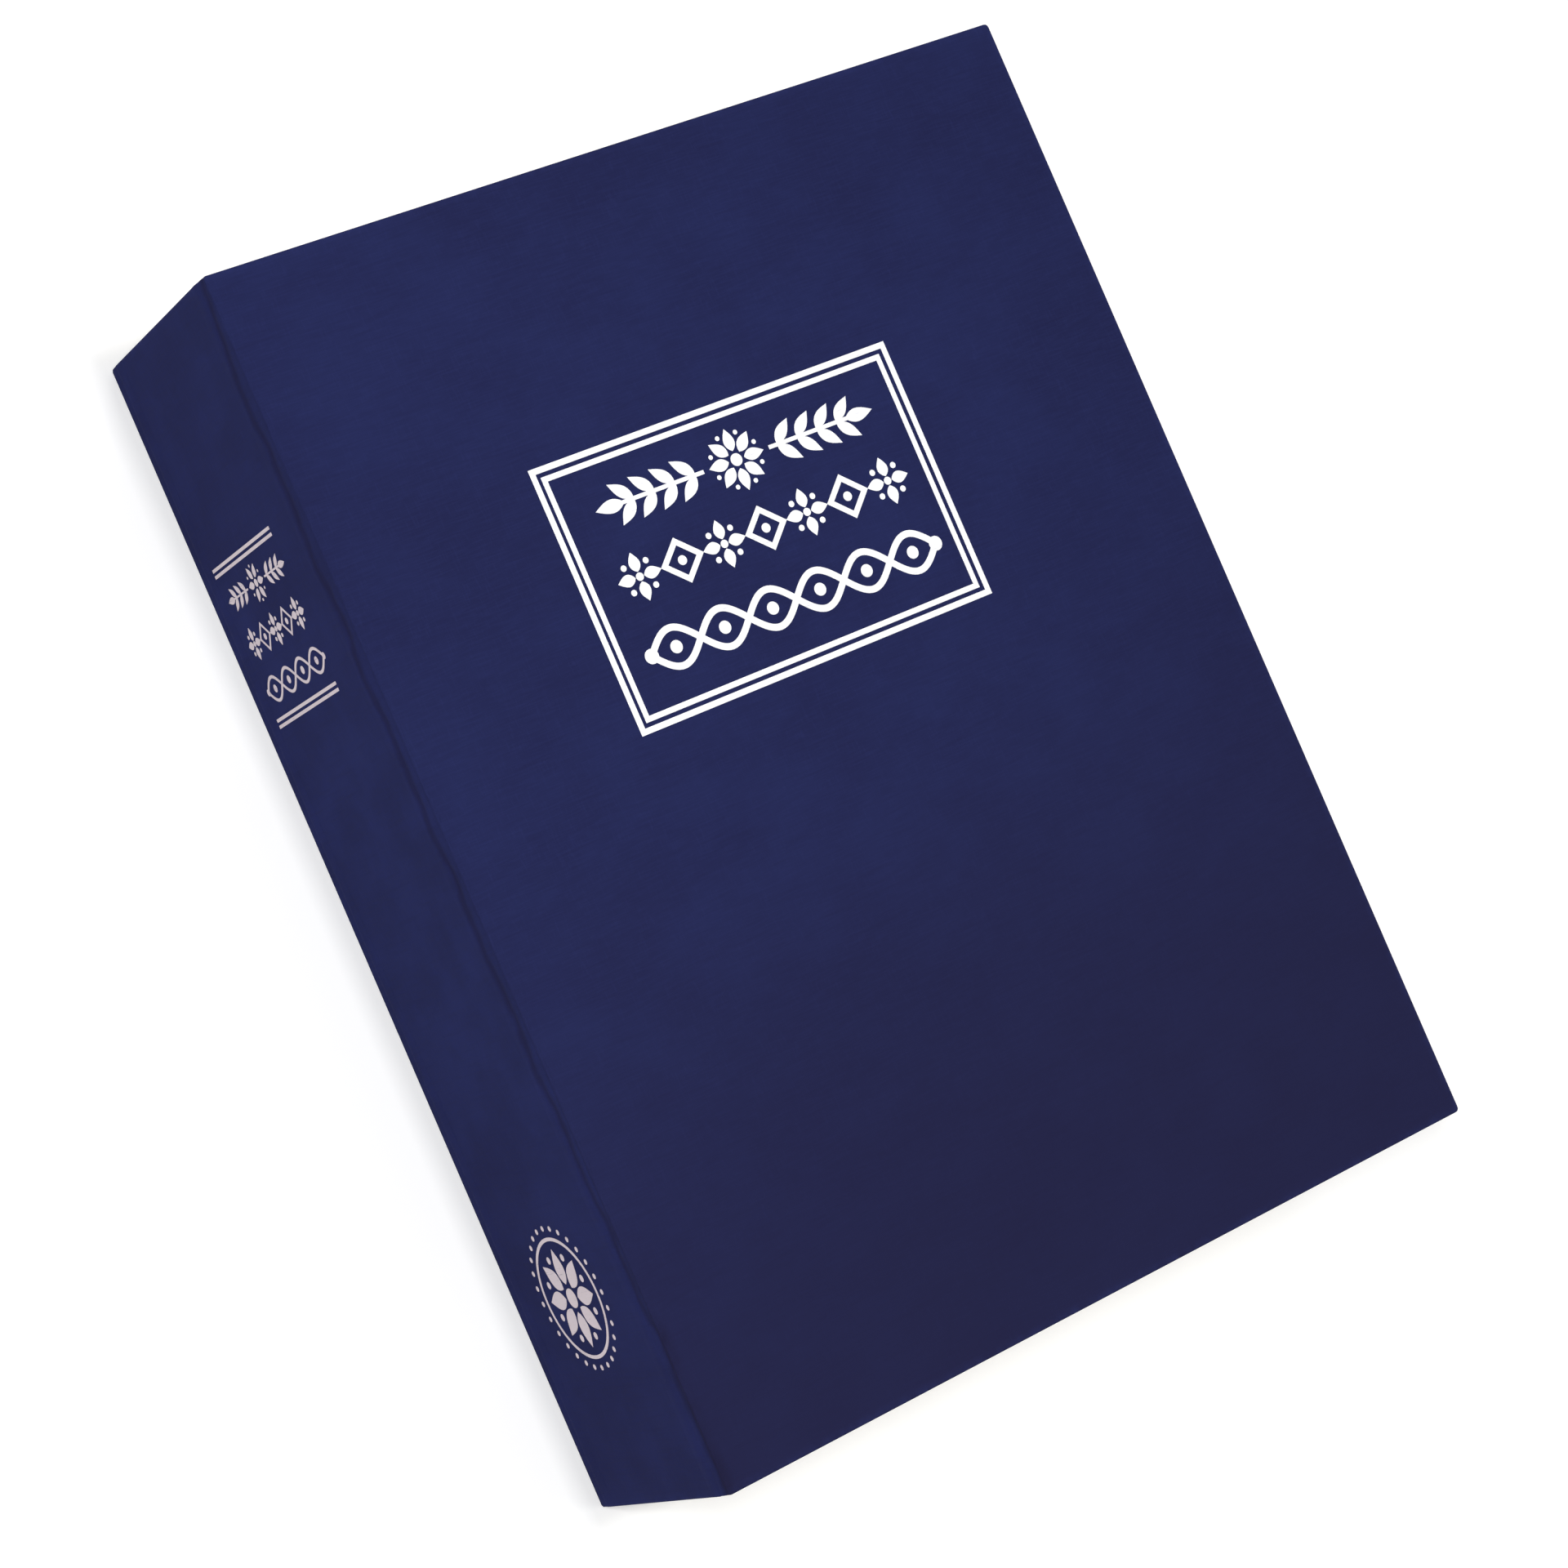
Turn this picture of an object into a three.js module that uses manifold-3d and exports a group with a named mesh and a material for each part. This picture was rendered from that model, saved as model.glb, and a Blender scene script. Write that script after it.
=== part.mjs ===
// Book diversion safe: a cloth-covered book case, a moulded page block, and a steel box whose hinged lid
// carries a three-wheel combination lock. Millimetres, +Z up. The book lies on its back cover, with the
// spine at -X, the fore edge at +X and the head at +Y. The origin is the middle of the underside.
import * as THREE from "three";
import { mergeVertices } from "three/addons/utils/BufferGeometryUtils.js";
import Module from "manifold-3d";

const wasm = await Module();
wasm.setup();

// Book case: boards covered in cloth and lined with paper
const bookWidth = 200;
const bookHeight = 265;
const bookThickness = 65;
const boardThickness = 2.5;
const clothThickness = 0.4;
const paperThickness = 0.3;
const glueLine = 0.05;
const turnIn = 15;
const liningMargin = 3.5;
const foreCornerRadius = 1;
const jointCornerRadius = 0.7;
const coverEdgeRadius = 0.5;
const jointGap = 0.35;
const jointStripWidth = 3.2;
const jointStripThickness = 0.25;
const coverSetback = 0.3;
const cornerSteps = 3;

// Page block: one moulding that runs round the head, the fore edge and the tail
const pageInset = 3.7;
const pageBlockDepth = 7;
const pageWall = 1.8;
const pageFlange = 1.6;
const coverRestGap = 0.3;
const leafPitchTarget = 1.2;
const leafGroove = 0.35;
const leafGrooveHalfWidth = 0.25;
const ribThickness = 1.5;
const ribPitchTarget = 48;

// Steel box
const boxSheet = 1;
const boxFlange = 6;
const boxCornerRadius = 3;
const rimGap = 0.3;

// Steel lid
const lidSheet = 1;
const lidLip = 8;
const lidBendRadius = 1;
const lipGap = 0.4;
const lidToPageGap = 0.8;
const lidHingeGap = 0.3;
const lidBelowCover = 2.85;

// Piano hinge along the spine side
const hingePinRadius = 1;
const knuckleClearance = 0.15;
const hingeSheet = 0.8;
const hingeLength = 200;
const knuckleCount = 9;
const knuckleGap = 0.4;
const fixedLeafHeight = 20;
const movingLeafWidth = 17;
const leafNotchGap = 0.5;
const pinHeadRadius = 1.7;
const pinHeadThickness = 0.7;
const hingeToSpineGap = 1.05;
const roundSteps = 6;

// Rivets that hold the hinge leaves
const rivetRadius = 1.2;
const rivetHeadRadius = 2.3;
const rivetHeadHeight = 0.8;
const rivetTailRadius = 1.9;
const rivetTailHeight = 0.6;
const rivetClearance = 0.15;
const rivetEndMargin = 25;
const rivetCount = 4;
const rivetSteps = 10;
const rivetDomeSteps = 2;

// Combination lock: face plate
const facePlateThickness = 1.15;
const facePlateOverlap = 2;
const facePlateCornerRadius = 4;
const facePlateEdgeRadius = 0.4;
const windowGap = 0.4;
const trayDepth = 0.6;

// Combination lock: number wheels on code sleeves
const wheelCount = 3;
const wheelPitch = 9;
const wheelWidth = 6;
const wheelRadius = 8;
const wheelProud = 1.3;
const digitCount = 10;
const scallopDepth = 0.7;
const scallopHalfAngle = THREE.MathUtils.degToRad(7);
const landSteps = 4;
const wheelBoreRadius = 5.8;
const splineGrooveDepth = 0.8;
const splineTipClearance = 0.35;
const splineWidth = 1.2;
const splineClearance = 0.2;
const collarRadius = 5.6;
const collarTailReach = 2.6;
const collarHeadReach = 0.6;
const splineTailReach = 1.2;
const hubRadius = 4.2;
const hubHeadReach = 1.2;
const hubEndGap = 0.3;
const sleeveBoreRadius = 3.2;
const webThickness = 1.2;
const returnWireRadius = 0.22;
const returnCoilTurns = 2.25;
const returnCoilSteps = 16;
const returnCoilSides = 6;
const returnCoilGap = 0.15;

// Combination lock: spindle, slider and latch
const spindleRadius = 1.8;
const spindleClearance = 0.2;
const toothWidth = 1.6;
const toothReach = 2.9;
const toothThickness = 1.2;
const keywayClearance = 0.2;
const slideTravel = 4;
const sliderLength = 8;
const sliderHalfWidth = 6;
const sliderHeight = 9.4;
const sliderClearance = 0.3;
const sliderSetoff = 0.6;
const spindleSocket = 3;
const latchWidth = 5;
const latchThickness = 2;
const latchDrop = 0.4;
const latchPassGap = 0.5;
const latchStart = 0.5;

// Combination lock: strike on the box's flange
const strikeThickness = 0.8;
const strikeLength = 7;
const strikeSeat = 4.5;
const strikeSideGap = 0.6;
const strikeHousingGap = 1.4;
const strikeCornerRadius = 1;

// Combination lock: thumb button
const buttonHalfWidth = 5.2;
const buttonLength = 9;
const buttonHeight = 1.7;
const buttonEdgeRadius = 0.4;
const buttonCornerRadius = 1;
const buttonGap = 0.4;
const stemHalfWidth = 1.5;
const stemLength = 3.6;
const stemSocket = 1.4;
const stemClearance = 0.1;
const gripGrooveCount = 4;
const gripGrooveWidth = 0.7;
const gripGrooveDepth = 0.4;

// Combination lock: housing and back plate
const housingHalfWidth = 10.4;
const housingHeight = 15.35;
const housingBearing = 1.4;
const housingEndBlock = 6.4;
const wheelChamberHalfWidth = 9.2;
const wheelChamberGap = 0.8;
const bearingClearance = 0.3;
const backPlateThickness = 1.05;
const housingFromFlange = 5.5;
const lidWindowHalfWidth = 8.2;
const spindleTail = 1.2;

// Combination lock: screws and bosses
const screwRadius = 1.05;
const screwHeadRadius = 2.2;
const screwHeadHeight = 1.2;
const screwClearance = 0.25;
const screwSpread = 6.5;
const screwThreadClearance = 0.1;
const screwTipGap = 0.4;
const crossRecessWidth = 0.6;
const crossRecessDepth = 0.5;
const bossRadius = 2.2;
const bossLength = 3;
const bossClearance = 0.2;
const bossRoof = 0.4;

// Combination lock: detent spring and reset lever
const springThickness = 0.4;
const springWallGap = 0.15;
const springBaseHeight = 3.8;
const springFingerWidth = 3.6;
const springFingerAbove = 2.1;
const springBumpRadius = 0.9;
const springSlotGap = 0.4;
const leverPlateThickness = 1.2;
const leverHalfWidth = 4;
const leverLength = 10;
const leverForkThickness = 1.2;
const leverForkNotch = 2.3;
const leverForkAbove = 2;
const leverForkGap = 0.3;
const leverEndGap = 0.7;
const leverTabHalfWidth = 3;
const leverTabLength = 5;
const leverTabHeight = 2.2;
const leverNeckHalfWidth = 1.2;
const leverNeckLength = 3;
const leverClearance = 0.3;
const leverTabFromEnd = 4;

// How far a cutting tool runs past the face that it cuts
const overrun = 1;

// Levels and places that follow from the sizes above
const coveredBoard = 2 * (clothThickness + glueLine) + boardThickness;
const panelDepth = coveredBoard + glueLine + paperThickness;
const spineX = -bookWidth / 2;
const coverLeft = spineX + coverSetback;
const spinePanelWidth = bookThickness - 2 * (panelDepth + jointGap);
const spineInnerX = spineX + panelDepth;
const frontInnerZ = bookThickness - panelDepth;

const pageForeX = bookWidth / 2 - pageInset;
const pageHeadY = bookHeight / 2 - pageInset;
const pageSpineX = spineInnerX + glueLine;
const pageBottomZ = panelDepth + glueLine;
const pageTopZ = frontInnerZ - coverRestGap;

const lidTopZ = frontInnerZ - lidBelowCover;
const lidUnderZ = lidTopZ - lidSheet;
const lidForeX = pageForeX - pageBlockDepth - lidToPageGap;
const lidHeadY = pageHeadY - pageBlockDepth - lidToPageGap;
const lipBottomZ = lidTopZ - lidLip;

const knuckleBore = hingePinRadius + knuckleClearance;
const knuckleRadius = knuckleBore + hingeSheet;
const hingeX = spineInnerX + hingeToSpineGap + knuckleRadius;
const movingLeafZ = lidUnderZ - glueLine - hingeSheet;
const hingeZ = movingLeafZ + knuckleRadius;
const lidHingeX = hingeX + knuckleRadius + lidHingeGap;

const boxBottomZ = pageBottomZ;
const boxRimZ = movingLeafZ - rimGap;
const boxForeX = lidForeX - lidSheet - lipGap;
const boxHeadY = lidHeadY - lidSheet - lipGap;
const boxSpineX = hingeX + knuckleRadius + glueLine;
const boxFlangeInnerX = boxForeX - boxFlange;

const lockX = boxFlangeInnerX - housingFromFlange - housingHalfWidth;
const facePlateBottomZ = lidTopZ + glueLine;
const facePlateTopZ = facePlateBottomZ + facePlateThickness;
const wheelZ = facePlateTopZ + wheelProud - wheelRadius;
const housingTopZ = lidUnderZ - glueLine;
const housingBottomZ = housingTopZ - housingHeight;
const backPlateTopZ = housingBottomZ - glueLine;
const backPlateBottomZ = backPlateTopZ - backPlateThickness;

// Places along the lock, measured along Y from the middle wheel
const wheelYs = Array.from({ length: wheelCount }, (_, i) => (i - (wheelCount - 1) / 2) * wheelPitch);
const firstWheelY = wheelYs[0];
const lastWheelY = wheelYs[wheelCount - 1];
const bearingLowY = firstWheelY - wheelPitch / 2 - housingBearing / 2;
const bearingHighY = lastWheelY + wheelPitch / 2 + housingBearing / 2;
const sliderY = bearingHighY + sliderSetoff + slideTravel;
const slideRoomEndY = sliderY + sliderLength + sliderClearance;
const housingHighY = slideRoomEndY + housingEndBlock;
const codeTravel = slideTravel / 2;
const hubTailReach = wheelPitch - hubHeadReach - hubEndGap;
const leverForkY = firstWheelY - hubTailReach - leverForkGap - leverForkThickness;
const resetRoomY = leverForkY - leverEndGap;
const housingLowY = resetRoomY - housingEndBlock;
const screwYs = [housingLowY + housingEndBlock / 2, housingHighY - housingEndBlock / 2];
const latchY = sliderY + latchStart;
const buttonY = sliderY + (sliderLength - buttonLength) / 2;
const stemY = sliderY + (sliderLength - stemLength) / 2;
const sliderTopZ = housingTopZ - sliderClearance;
const sliderBottomZ = sliderTopZ - sliderHeight;
const strikeZ = boxRimZ + glueLine;
const latchTopZ = strikeZ - latchDrop;
const trayZ = facePlateTopZ - trayDepth;
const leverPlateZ = housingBottomZ + leverClearance;
const leverTabY = leverForkY + leverTabFromEnd;

// Finishes
const finishes = {
  cloth: new THREE.MeshStandardMaterial({ color: 0x282c5c, roughness: 0.7, metalness: 0 }),
  board: new THREE.MeshStandardMaterial({ color: 0x9a8f80, roughness: 0.9, metalness: 0 }),
  paper: new THREE.MeshStandardMaterial({ color: 0xe9e4d6, roughness: 0.8, metalness: 0 }),
  pages: new THREE.MeshStandardMaterial({ color: 0xefe8d4, roughness: 0.6, metalness: 0 }),
  paintedSteel: new THREE.MeshStandardMaterial({ color: 0x17181b, roughness: 0.45, metalness: 0.3 }),
  plainSteel: new THREE.MeshStandardMaterial({ color: 0xb9bcc0, roughness: 0.35, metalness: 1 }),
  castMetal: new THREE.MeshStandardMaterial({ color: 0xc9cacc, roughness: 0.25, metalness: 1 }),
  blackPlastic: new THREE.MeshStandardMaterial({ color: 0x141416, roughness: 0.5, metalness: 0 }),
  springSteel: new THREE.MeshStandardMaterial({ color: 0xa8a79f, roughness: 0.3, metalness: 1 }),
};

// A closed three.js geometry as a solid that can be joined and cut
function solidOf(geometry) {
  const bare = geometry.index ? geometry.toNonIndexed() : geometry;
  const merged = mergeVertices(
    new THREE.BufferGeometry().setAttribute("position", bare.getAttribute("position")),
  );
  return new wasm.Manifold(
    new wasm.Mesh({
      numProp: 3,
      vertProperties: merged.attributes.position.array,
      triVerts: new Uint32Array(merged.index.array),
    }),
  );
}

// A solid back as a three.js geometry
function geometryOf(solid) {
  const mesh = solid.getMesh();
  const geometry = new THREE.BufferGeometry();
  geometry.setAttribute("position", new THREE.BufferAttribute(mesh.vertProperties, 3));
  geometry.setIndex(new THREE.BufferAttribute(mesh.triVerts, 1));
  return geometry;
}

const cut = (solid, ...tools) => tools.reduce((rest, tool) => rest.subtract(tool), solid);
const join = (first, ...others) => others.reduce((sum, other) => sum.add(other), first);
const around = (middle, half) => [middle - half, middle + half];
const from = (start, length) => [start, start + length];

// A block between two limits along each axis
function block([x0, x1], [y0, y1], [z0, z1]) {
  const box = new THREE.BoxGeometry(x1 - x0, y1 - y0, z1 - z0);
  return solidOf(box.translate((x0 + x1) / 2, (y0 + y1) / 2, (z0 + z1) / 2));
}

// An outline as a solid between two heights
function prismZ(shape, [z0, z1], curveSegments = cornerSteps) {
  const extruded = new THREE.ExtrudeGeometry(shape, { depth: z1 - z0, bevelEnabled: false, curveSegments });
  return solidOf(extruded.translate(0, 0, z0));
}

// An outline drawn in X and Z as a solid between two places along Y
function prismY(shape, [y0, y1], curveSegments = roundSteps) {
  const extruded = new THREE.ExtrudeGeometry(shape, { depth: y1 - y0, bevelEnabled: false, curveSegments });
  const turn = new THREE.Matrix4().makeBasis(
    new THREE.Vector3(1, 0, 0),
    new THREE.Vector3(0, 0, 1),
    new THREE.Vector3(0, -1, 0),
  );
  return solidOf(extruded.applyMatrix4(turn).translate(0, y1, 0));
}

const disc = (x, y, radius) => new THREE.Shape().absarc(x, y, radius, 0, 2 * Math.PI);

// A rectangle with a corner radius of its own at each end of X
function roundedRectangle([x0, x1], [y0, y1], lowRadius, highRadius = lowRadius) {
  const shape = new THREE.Shape();
  shape.absarc(x1 - highRadius, y0 + highRadius, highRadius, -Math.PI / 2, 0);
  shape.absarc(x1 - highRadius, y1 - highRadius, highRadius, 0, Math.PI / 2);
  shape.absarc(x0 + lowRadius, y1 - lowRadius, lowRadius, Math.PI / 2, Math.PI);
  shape.absarc(x0 + lowRadius, y0 + lowRadius, lowRadius, Math.PI, 1.5 * Math.PI);
  shape.closePath();
  return shape;
}

// A slab of a given outline whose upper and lower edges are rounded
function roundedSlab(shape, [z0, z1], radius) {
  const extruded = new THREE.ExtrudeGeometry(shape, {
    depth: z1 - z0 - 2 * radius,
    bevelEnabled: true,
    bevelThickness: radius,
    bevelSize: radius,
    bevelOffset: -radius,
    bevelSegments: cornerSteps,
    curveSegments: cornerSteps,
  });
  return solidOf(extruded.translate(0, 0, z0 + radius));
}

// A finished piece, named and coloured
function piece(name, solid, finish) {
  const mesh = new THREE.Mesh(geometryOf(solid), finishes[finish]);
  mesh.name = name;
  return mesh;
}

function group(...children) {
  const made = new THREE.Group();
  made.add(...children);
  return made;
}

// A covered board of the book case. It lies with its outer face up at z 0, its hinge edge along x 0.
function casePanel(prefix, width, foreRadius) {
  const halfHeight = bookHeight / 2;
  const outlineInset = (inset) =>
    roundedRectangle(
      [inset, width - inset],
      around(0, halfHeight - inset),
      jointCornerRadius - inset,
      foreRadius - inset,
    );
  const boardInset = clothThickness + glueLine;
  const cloth = cut(
    roundedSlab(outlineInset(0), [-coveredBoard, 0], coverEdgeRadius),
    prismZ(outlineInset(clothThickness), [-coveredBoard + clothThickness, -clothThickness]),
    block(
      [turnIn, width - turnIn],
      around(0, halfHeight - turnIn),
      [-coveredBoard - overrun, -coveredBoard / 2],
    ),
  );
  const board = prismZ(outlineInset(boardInset), [-boardInset - boardThickness, -boardInset]);
  const lining = block(
    [liningMargin, width - liningMargin],
    around(0, halfHeight - liningMargin),
    [-panelDepth, -coveredBoard - glueLine],
  );
  return group(
    piece(prefix + "_cloth", cloth, "cloth"),
    piece(prefix + "_board", board, "board"),
    piece(prefix + "_lining", lining, "paper"),
  );
}

// The flexible strip of cloth in the groove between the spine and a cover
function jointStrip(name, lowZ) {
  const strip = block(
    from(spineX + glueLine, jointStripWidth),
    around(0, bookHeight / 2 - clothThickness),
    from(lowZ, jointStripThickness),
  );
  return piece(name, strip, "cloth");
}

// The section of the page block, as depth from its outer face and height, going round once
function pageSection() {
  const height = pageTopZ - pageBottomZ;
  const leafCount = Math.max(2, Math.round(height / leafPitchTarget));
  const pitch = height / leafCount;
  const points = [[0, pageBottomZ]];
  for (let i = 1; i < leafCount; i++) {
    const z = pageBottomZ + i * pitch;
    points.push([0, z - leafGrooveHalfWidth], [leafGroove, z], [0, z + leafGrooveHalfWidth]);
  }
  points.push(
    [0, pageTopZ],
    [pageBlockDepth, pageTopZ],
    [pageBlockDepth, pageTopZ - pageFlange],
    [pageWall, pageTopZ - pageFlange],
    [pageWall, pageBottomZ + pageFlange],
    [pageBlockDepth, pageBottomZ + pageFlange],
    [pageBlockDepth, pageBottomZ],
  );
  return points;
}

// The section swept round three sides with mitred corners
function pageFrame() {
  const section = pageSection();
  const stations = [
    (d) => [pageSpineX, d - pageHeadY],
    (d) => [pageForeX - d, d - pageHeadY],
    (d) => [pageForeX - d, pageHeadY - d],
    (d) => [pageSpineX, pageHeadY - d],
  ];
  const positions = stations.flatMap((at) => section.flatMap(([d, z]) => [...at(d), z]));
  const count = section.length;
  const faces = [];
  for (let s = 0; s < stations.length - 1; s++) {
    for (let i = 0; i < count; i++) {
      const a = s * count + i;
      const b = s * count + ((i + 1) % count);
      faces.push(a, a + count, b, b, a + count, b + count);
    }
  }
  const outline = section.map(([d, z]) => new THREE.Vector2(d, z));
  const last = (stations.length - 1) * count;
  for (const [a, b, c] of THREE.ShapeUtils.triangulateShape(outline, [])) {
    faces.push(a, c, b, last + a, last + b, last + c);
  }
  const geometry = new THREE.BufferGeometry();
  geometry.setAttribute("position", new THREE.Float32BufferAttribute(positions, 3));
  geometry.setIndex(faces);
  return solidOf(geometry);
}

// Stiffening ribs inside the page block's channel, spread evenly along each side
function pageRibs() {
  const heights = [pageBottomZ + pageFlange / 2, pageTopZ - pageFlange / 2];
  const reach = [pageWall / 2, pageBlockDepth];
  const spread = (low, high) => {
    const count = Math.max(2, Math.round((high - low) / ribPitchTarget));
    return Array.from({ length: count }, (_, i) => low + ((i + 0.5) * (high - low)) / count);
  };
  const innerY = pageHeadY - pageBlockDepth;
  const innerX = pageForeX - pageBlockDepth;
  const ribs = [];
  for (const x of spread(pageSpineX, innerX)) {
    for (const side of [-1, 1]) {
      const ys = reach.map((d) => side * (pageHeadY - d)).sort((a, b) => a - b);
      ribs.push(block(around(x, ribThickness / 2), ys, heights));
    }
  }
  for (const y of spread(-innerY, innerY)) {
    ribs.push(block([pageForeX - reach[1], pageForeX - reach[0]], around(y, ribThickness / 2), heights));
  }
  return ribs;
}

const rivetPitch = (hingeLength - 2 * rivetEndMargin) / (rivetCount - 1);
const rivetYs = Array.from({ length: rivetCount }, (_, i) => (i - (rivetCount - 1) / 2) * rivetPitch);
const rivetHole = rivetRadius + rivetClearance;
const fixedRivetZ = hingeZ - knuckleRadius - leafNotchGap - fixedLeafHeight / 2;
const movingRivetX = lidHingeX + leafNotchGap + movingLeafWidth / 2;

// A tool that cuts a round hole along X
function holeX(y, z, radius, [x0, x1]) {
  const turn = new THREE.Matrix4().makeBasis(
    new THREE.Vector3(0, 1, 0),
    new THREE.Vector3(0, 0, 1),
    new THREE.Vector3(1, 0, 0),
  );
  const extruded = new THREE.ExtrudeGeometry(disc(y, z, radius), {
    depth: x1 - x0,
    bevelEnabled: false,
    curveSegments: roundSteps,
  });
  return solidOf(extruded.applyMatrix4(turn).translate(x0, 0, 0));
}

const holeZ = (x, y, radius, span) => prismZ(disc(x, y, radius), span, roundSteps);
const holeY = (x, z, radius, span) => prismY(disc(x, z, radius), span, roundSteps);

// Folded steel box with an inward flange round its mouth
function boxShell() {
  const outline = (inset, radius) =>
    roundedRectangle([boxSpineX + inset, boxForeX - inset], around(0, boxHeadY - inset), radius);
  const innerRadius = boxCornerRadius - boxSheet;
  return cut(
    prismZ(outline(0, boxCornerRadius), [boxBottomZ, boxRimZ]),
    prismZ(outline(boxSheet, innerRadius), [boxBottomZ + boxSheet, boxRimZ - boxSheet]),
    prismZ(outline(boxFlange, innerRadius), [boxRimZ - 2 * boxSheet, boxRimZ + overrun]),
    ...rivetYs.map((y) =>
      holeX(y, fixedRivetZ, rivetHole, [boxSpineX - overrun, boxSpineX + boxSheet + overrun]),
    ),
  );
}

// Strike welded on the flange, for the latch arm to slide under
function latchStrike() {
  const startX = lockX + housingHalfWidth + strikeHousingGap;
  const endY = latchY - strikeSideGap;
  return prismZ(
    roundedRectangle(
      [startX, boxFlangeInnerX + strikeSeat],
      [endY - strikeLength, endY],
      strikeCornerRadius,
    ),
    from(strikeZ, strikeThickness),
  );
}

// Lid pan: a flat panel with lips down the head, the fore edge and the tail
function lidPan() {
  const outline = (inset, radius) =>
    roundedRectangle(
      [lidHingeX, lidForeX - inset],
      around(0, lidHeadY - inset),
      lidBendRadius + lidHingeGap,
      radius,
    );
  const outerRadius = boxCornerRadius + lipGap + lidSheet;
  const skirt = [lipBottomZ - lidLip, lidTopZ];
  const hollow = roundedRectangle(
    [lidHingeX - overrun - outerRadius, lidForeX - lidSheet],
    around(0, lidHeadY - lidSheet),
    lidBendRadius,
    outerRadius - lidSheet,
  );
  const below = block(
    [lidHingeX - overrun, lidForeX + overrun],
    around(0, lidHeadY + overrun),
    [skirt[0] - overrun, lipBottomZ],
  );
  const window = block(
    around(lockX, lidWindowHalfWidth),
    [bearingLowY + housingBearing / 2, slideRoomEndY],
    [lidUnderZ - overrun, lidTopZ + overrun],
  );
  const through = [lidUnderZ - overrun, lidTopZ + overrun];
  const bossHoles = screwPlaces().map(([x, y]) => holeZ(lockX + x, y, bossRadius + bossClearance, through));
  const rivetHoles = rivetYs.map((y) => holeZ(movingRivetX, y, rivetHole, through));
  return cut(
    roundedSlab(outline(0, outerRadius), skirt, lidBendRadius),
    prismZ(hollow, [skirt[0] - overrun, lidUnderZ]),
    below,
    window,
    ...bossHoles,
    ...rivetHoles,
  );
}

// The Y limits of the hinge knuckles, fixed and moving ones taking turns
function knuckleSpans(first) {
  const pitch = hingeLength / knuckleCount;
  const spans = [];
  for (let i = first; i < knuckleCount; i += 2) {
    const start = -hingeLength / 2 + i * pitch;
    spans.push([start + knuckleGap / 2, start + pitch - knuckleGap / 2]);
  }
  return spans;
}

const knuckle = (span) => holeY(hingeX, hingeZ, knuckleRadius, span);
const pinBore = () => holeY(hingeX, hingeZ, knuckleBore, around(0, hingeLength / 2 + overrun));

// Leaf riveted to the box, standing against its spine-side wall
function fixedLeaf() {
  const plateX = [hingeX + knuckleRadius - hingeSheet, hingeX + knuckleRadius];
  const topZ = hingeZ - knuckleRadius - leafNotchGap;
  const plate = block(plateX, around(0, hingeLength / 2), [topZ - fixedLeafHeight, topZ]);
  const fingers = knuckleSpans(0).map((span) =>
    join(knuckle(span), block(plateX, span, [topZ - hingeSheet, hingeZ])),
  );
  const holes = rivetYs.map((y) =>
    holeX(y, fixedRivetZ, rivetHole, [plateX[0] - overrun, plateX[1] + overrun]),
  );
  return cut(join(plate, ...fingers), pinBore(), ...holes);
}

// Leaf riveted under the lid
function movingLeaf() {
  const plateZ = [movingLeafZ, movingLeafZ + hingeSheet];
  const startX = lidHingeX + leafNotchGap;
  const plate = block(from(startX, movingLeafWidth), around(0, hingeLength / 2), plateZ);
  const fingers = knuckleSpans(1).map((span) =>
    join(knuckle(span), block([hingeX, startX + hingeSheet], span, plateZ)),
  );
  const holes = rivetYs.map((y) =>
    holeZ(movingRivetX, y, rivetHole, [plateZ[0] - overrun, plateZ[1] + overrun]),
  );
  return cut(join(plate, ...fingers), pinBore(), ...holes);
}

// Hinge pin with a peened head past each end knuckle
function hingePin() {
  const end = hingeLength / 2 + knuckleGap / 2;
  const shaft = holeY(hingeX, hingeZ, hingePinRadius, around(0, end + pinHeadThickness / 2));
  const head = (span) => holeY(hingeX, hingeZ, pinHeadRadius, span);
  return join(shaft, head(from(end, pinHeadThickness)), head(from(-end - pinHeadThickness, pinHeadThickness)));
}

// A rivet along Z: domed head above z 0, shank down through the stack, upset tail below
function rivetGeometry(stack) {
  const profile = new THREE.Path();
  profile.moveTo(0, -stack - glueLine - rivetTailHeight);
  profile.lineTo(rivetTailRadius - rivetClearance, -stack - glueLine - rivetTailHeight);
  profile.lineTo(rivetTailRadius, -stack - glueLine);
  profile.lineTo(rivetRadius, -stack - glueLine);
  profile.lineTo(rivetRadius, glueLine);
  profile.lineTo(rivetHeadRadius, glueLine);
  profile.absellipse(0, glueLine, rivetHeadRadius, rivetHeadHeight, 0, Math.PI / 2);
  const lathe = new THREE.LatheGeometry(profile.getPoints(rivetDomeSteps), rivetSteps);
  return geometryOf(solidOf(lathe.rotateX(Math.PI / 2)));
}

// A row of rivets set in a hinge leaf, each its own piece
function rivetRow(prefix, stack, place) {
  return rivetYs.map((y, i) => {
    const rivet = new THREE.Mesh(rivetGeometry(stack), finishes.plainSteel);
    rivet.name = prefix + "_" + (i + 1);
    place(rivet, y);
    return rivet;
  });
}

// Where the four lock screws stand, across and along the lock
function screwPlaces() {
  return screwYs.flatMap((y) => [
    [-screwSpread, y],
    [screwSpread, y],
  ]);
}

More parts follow.
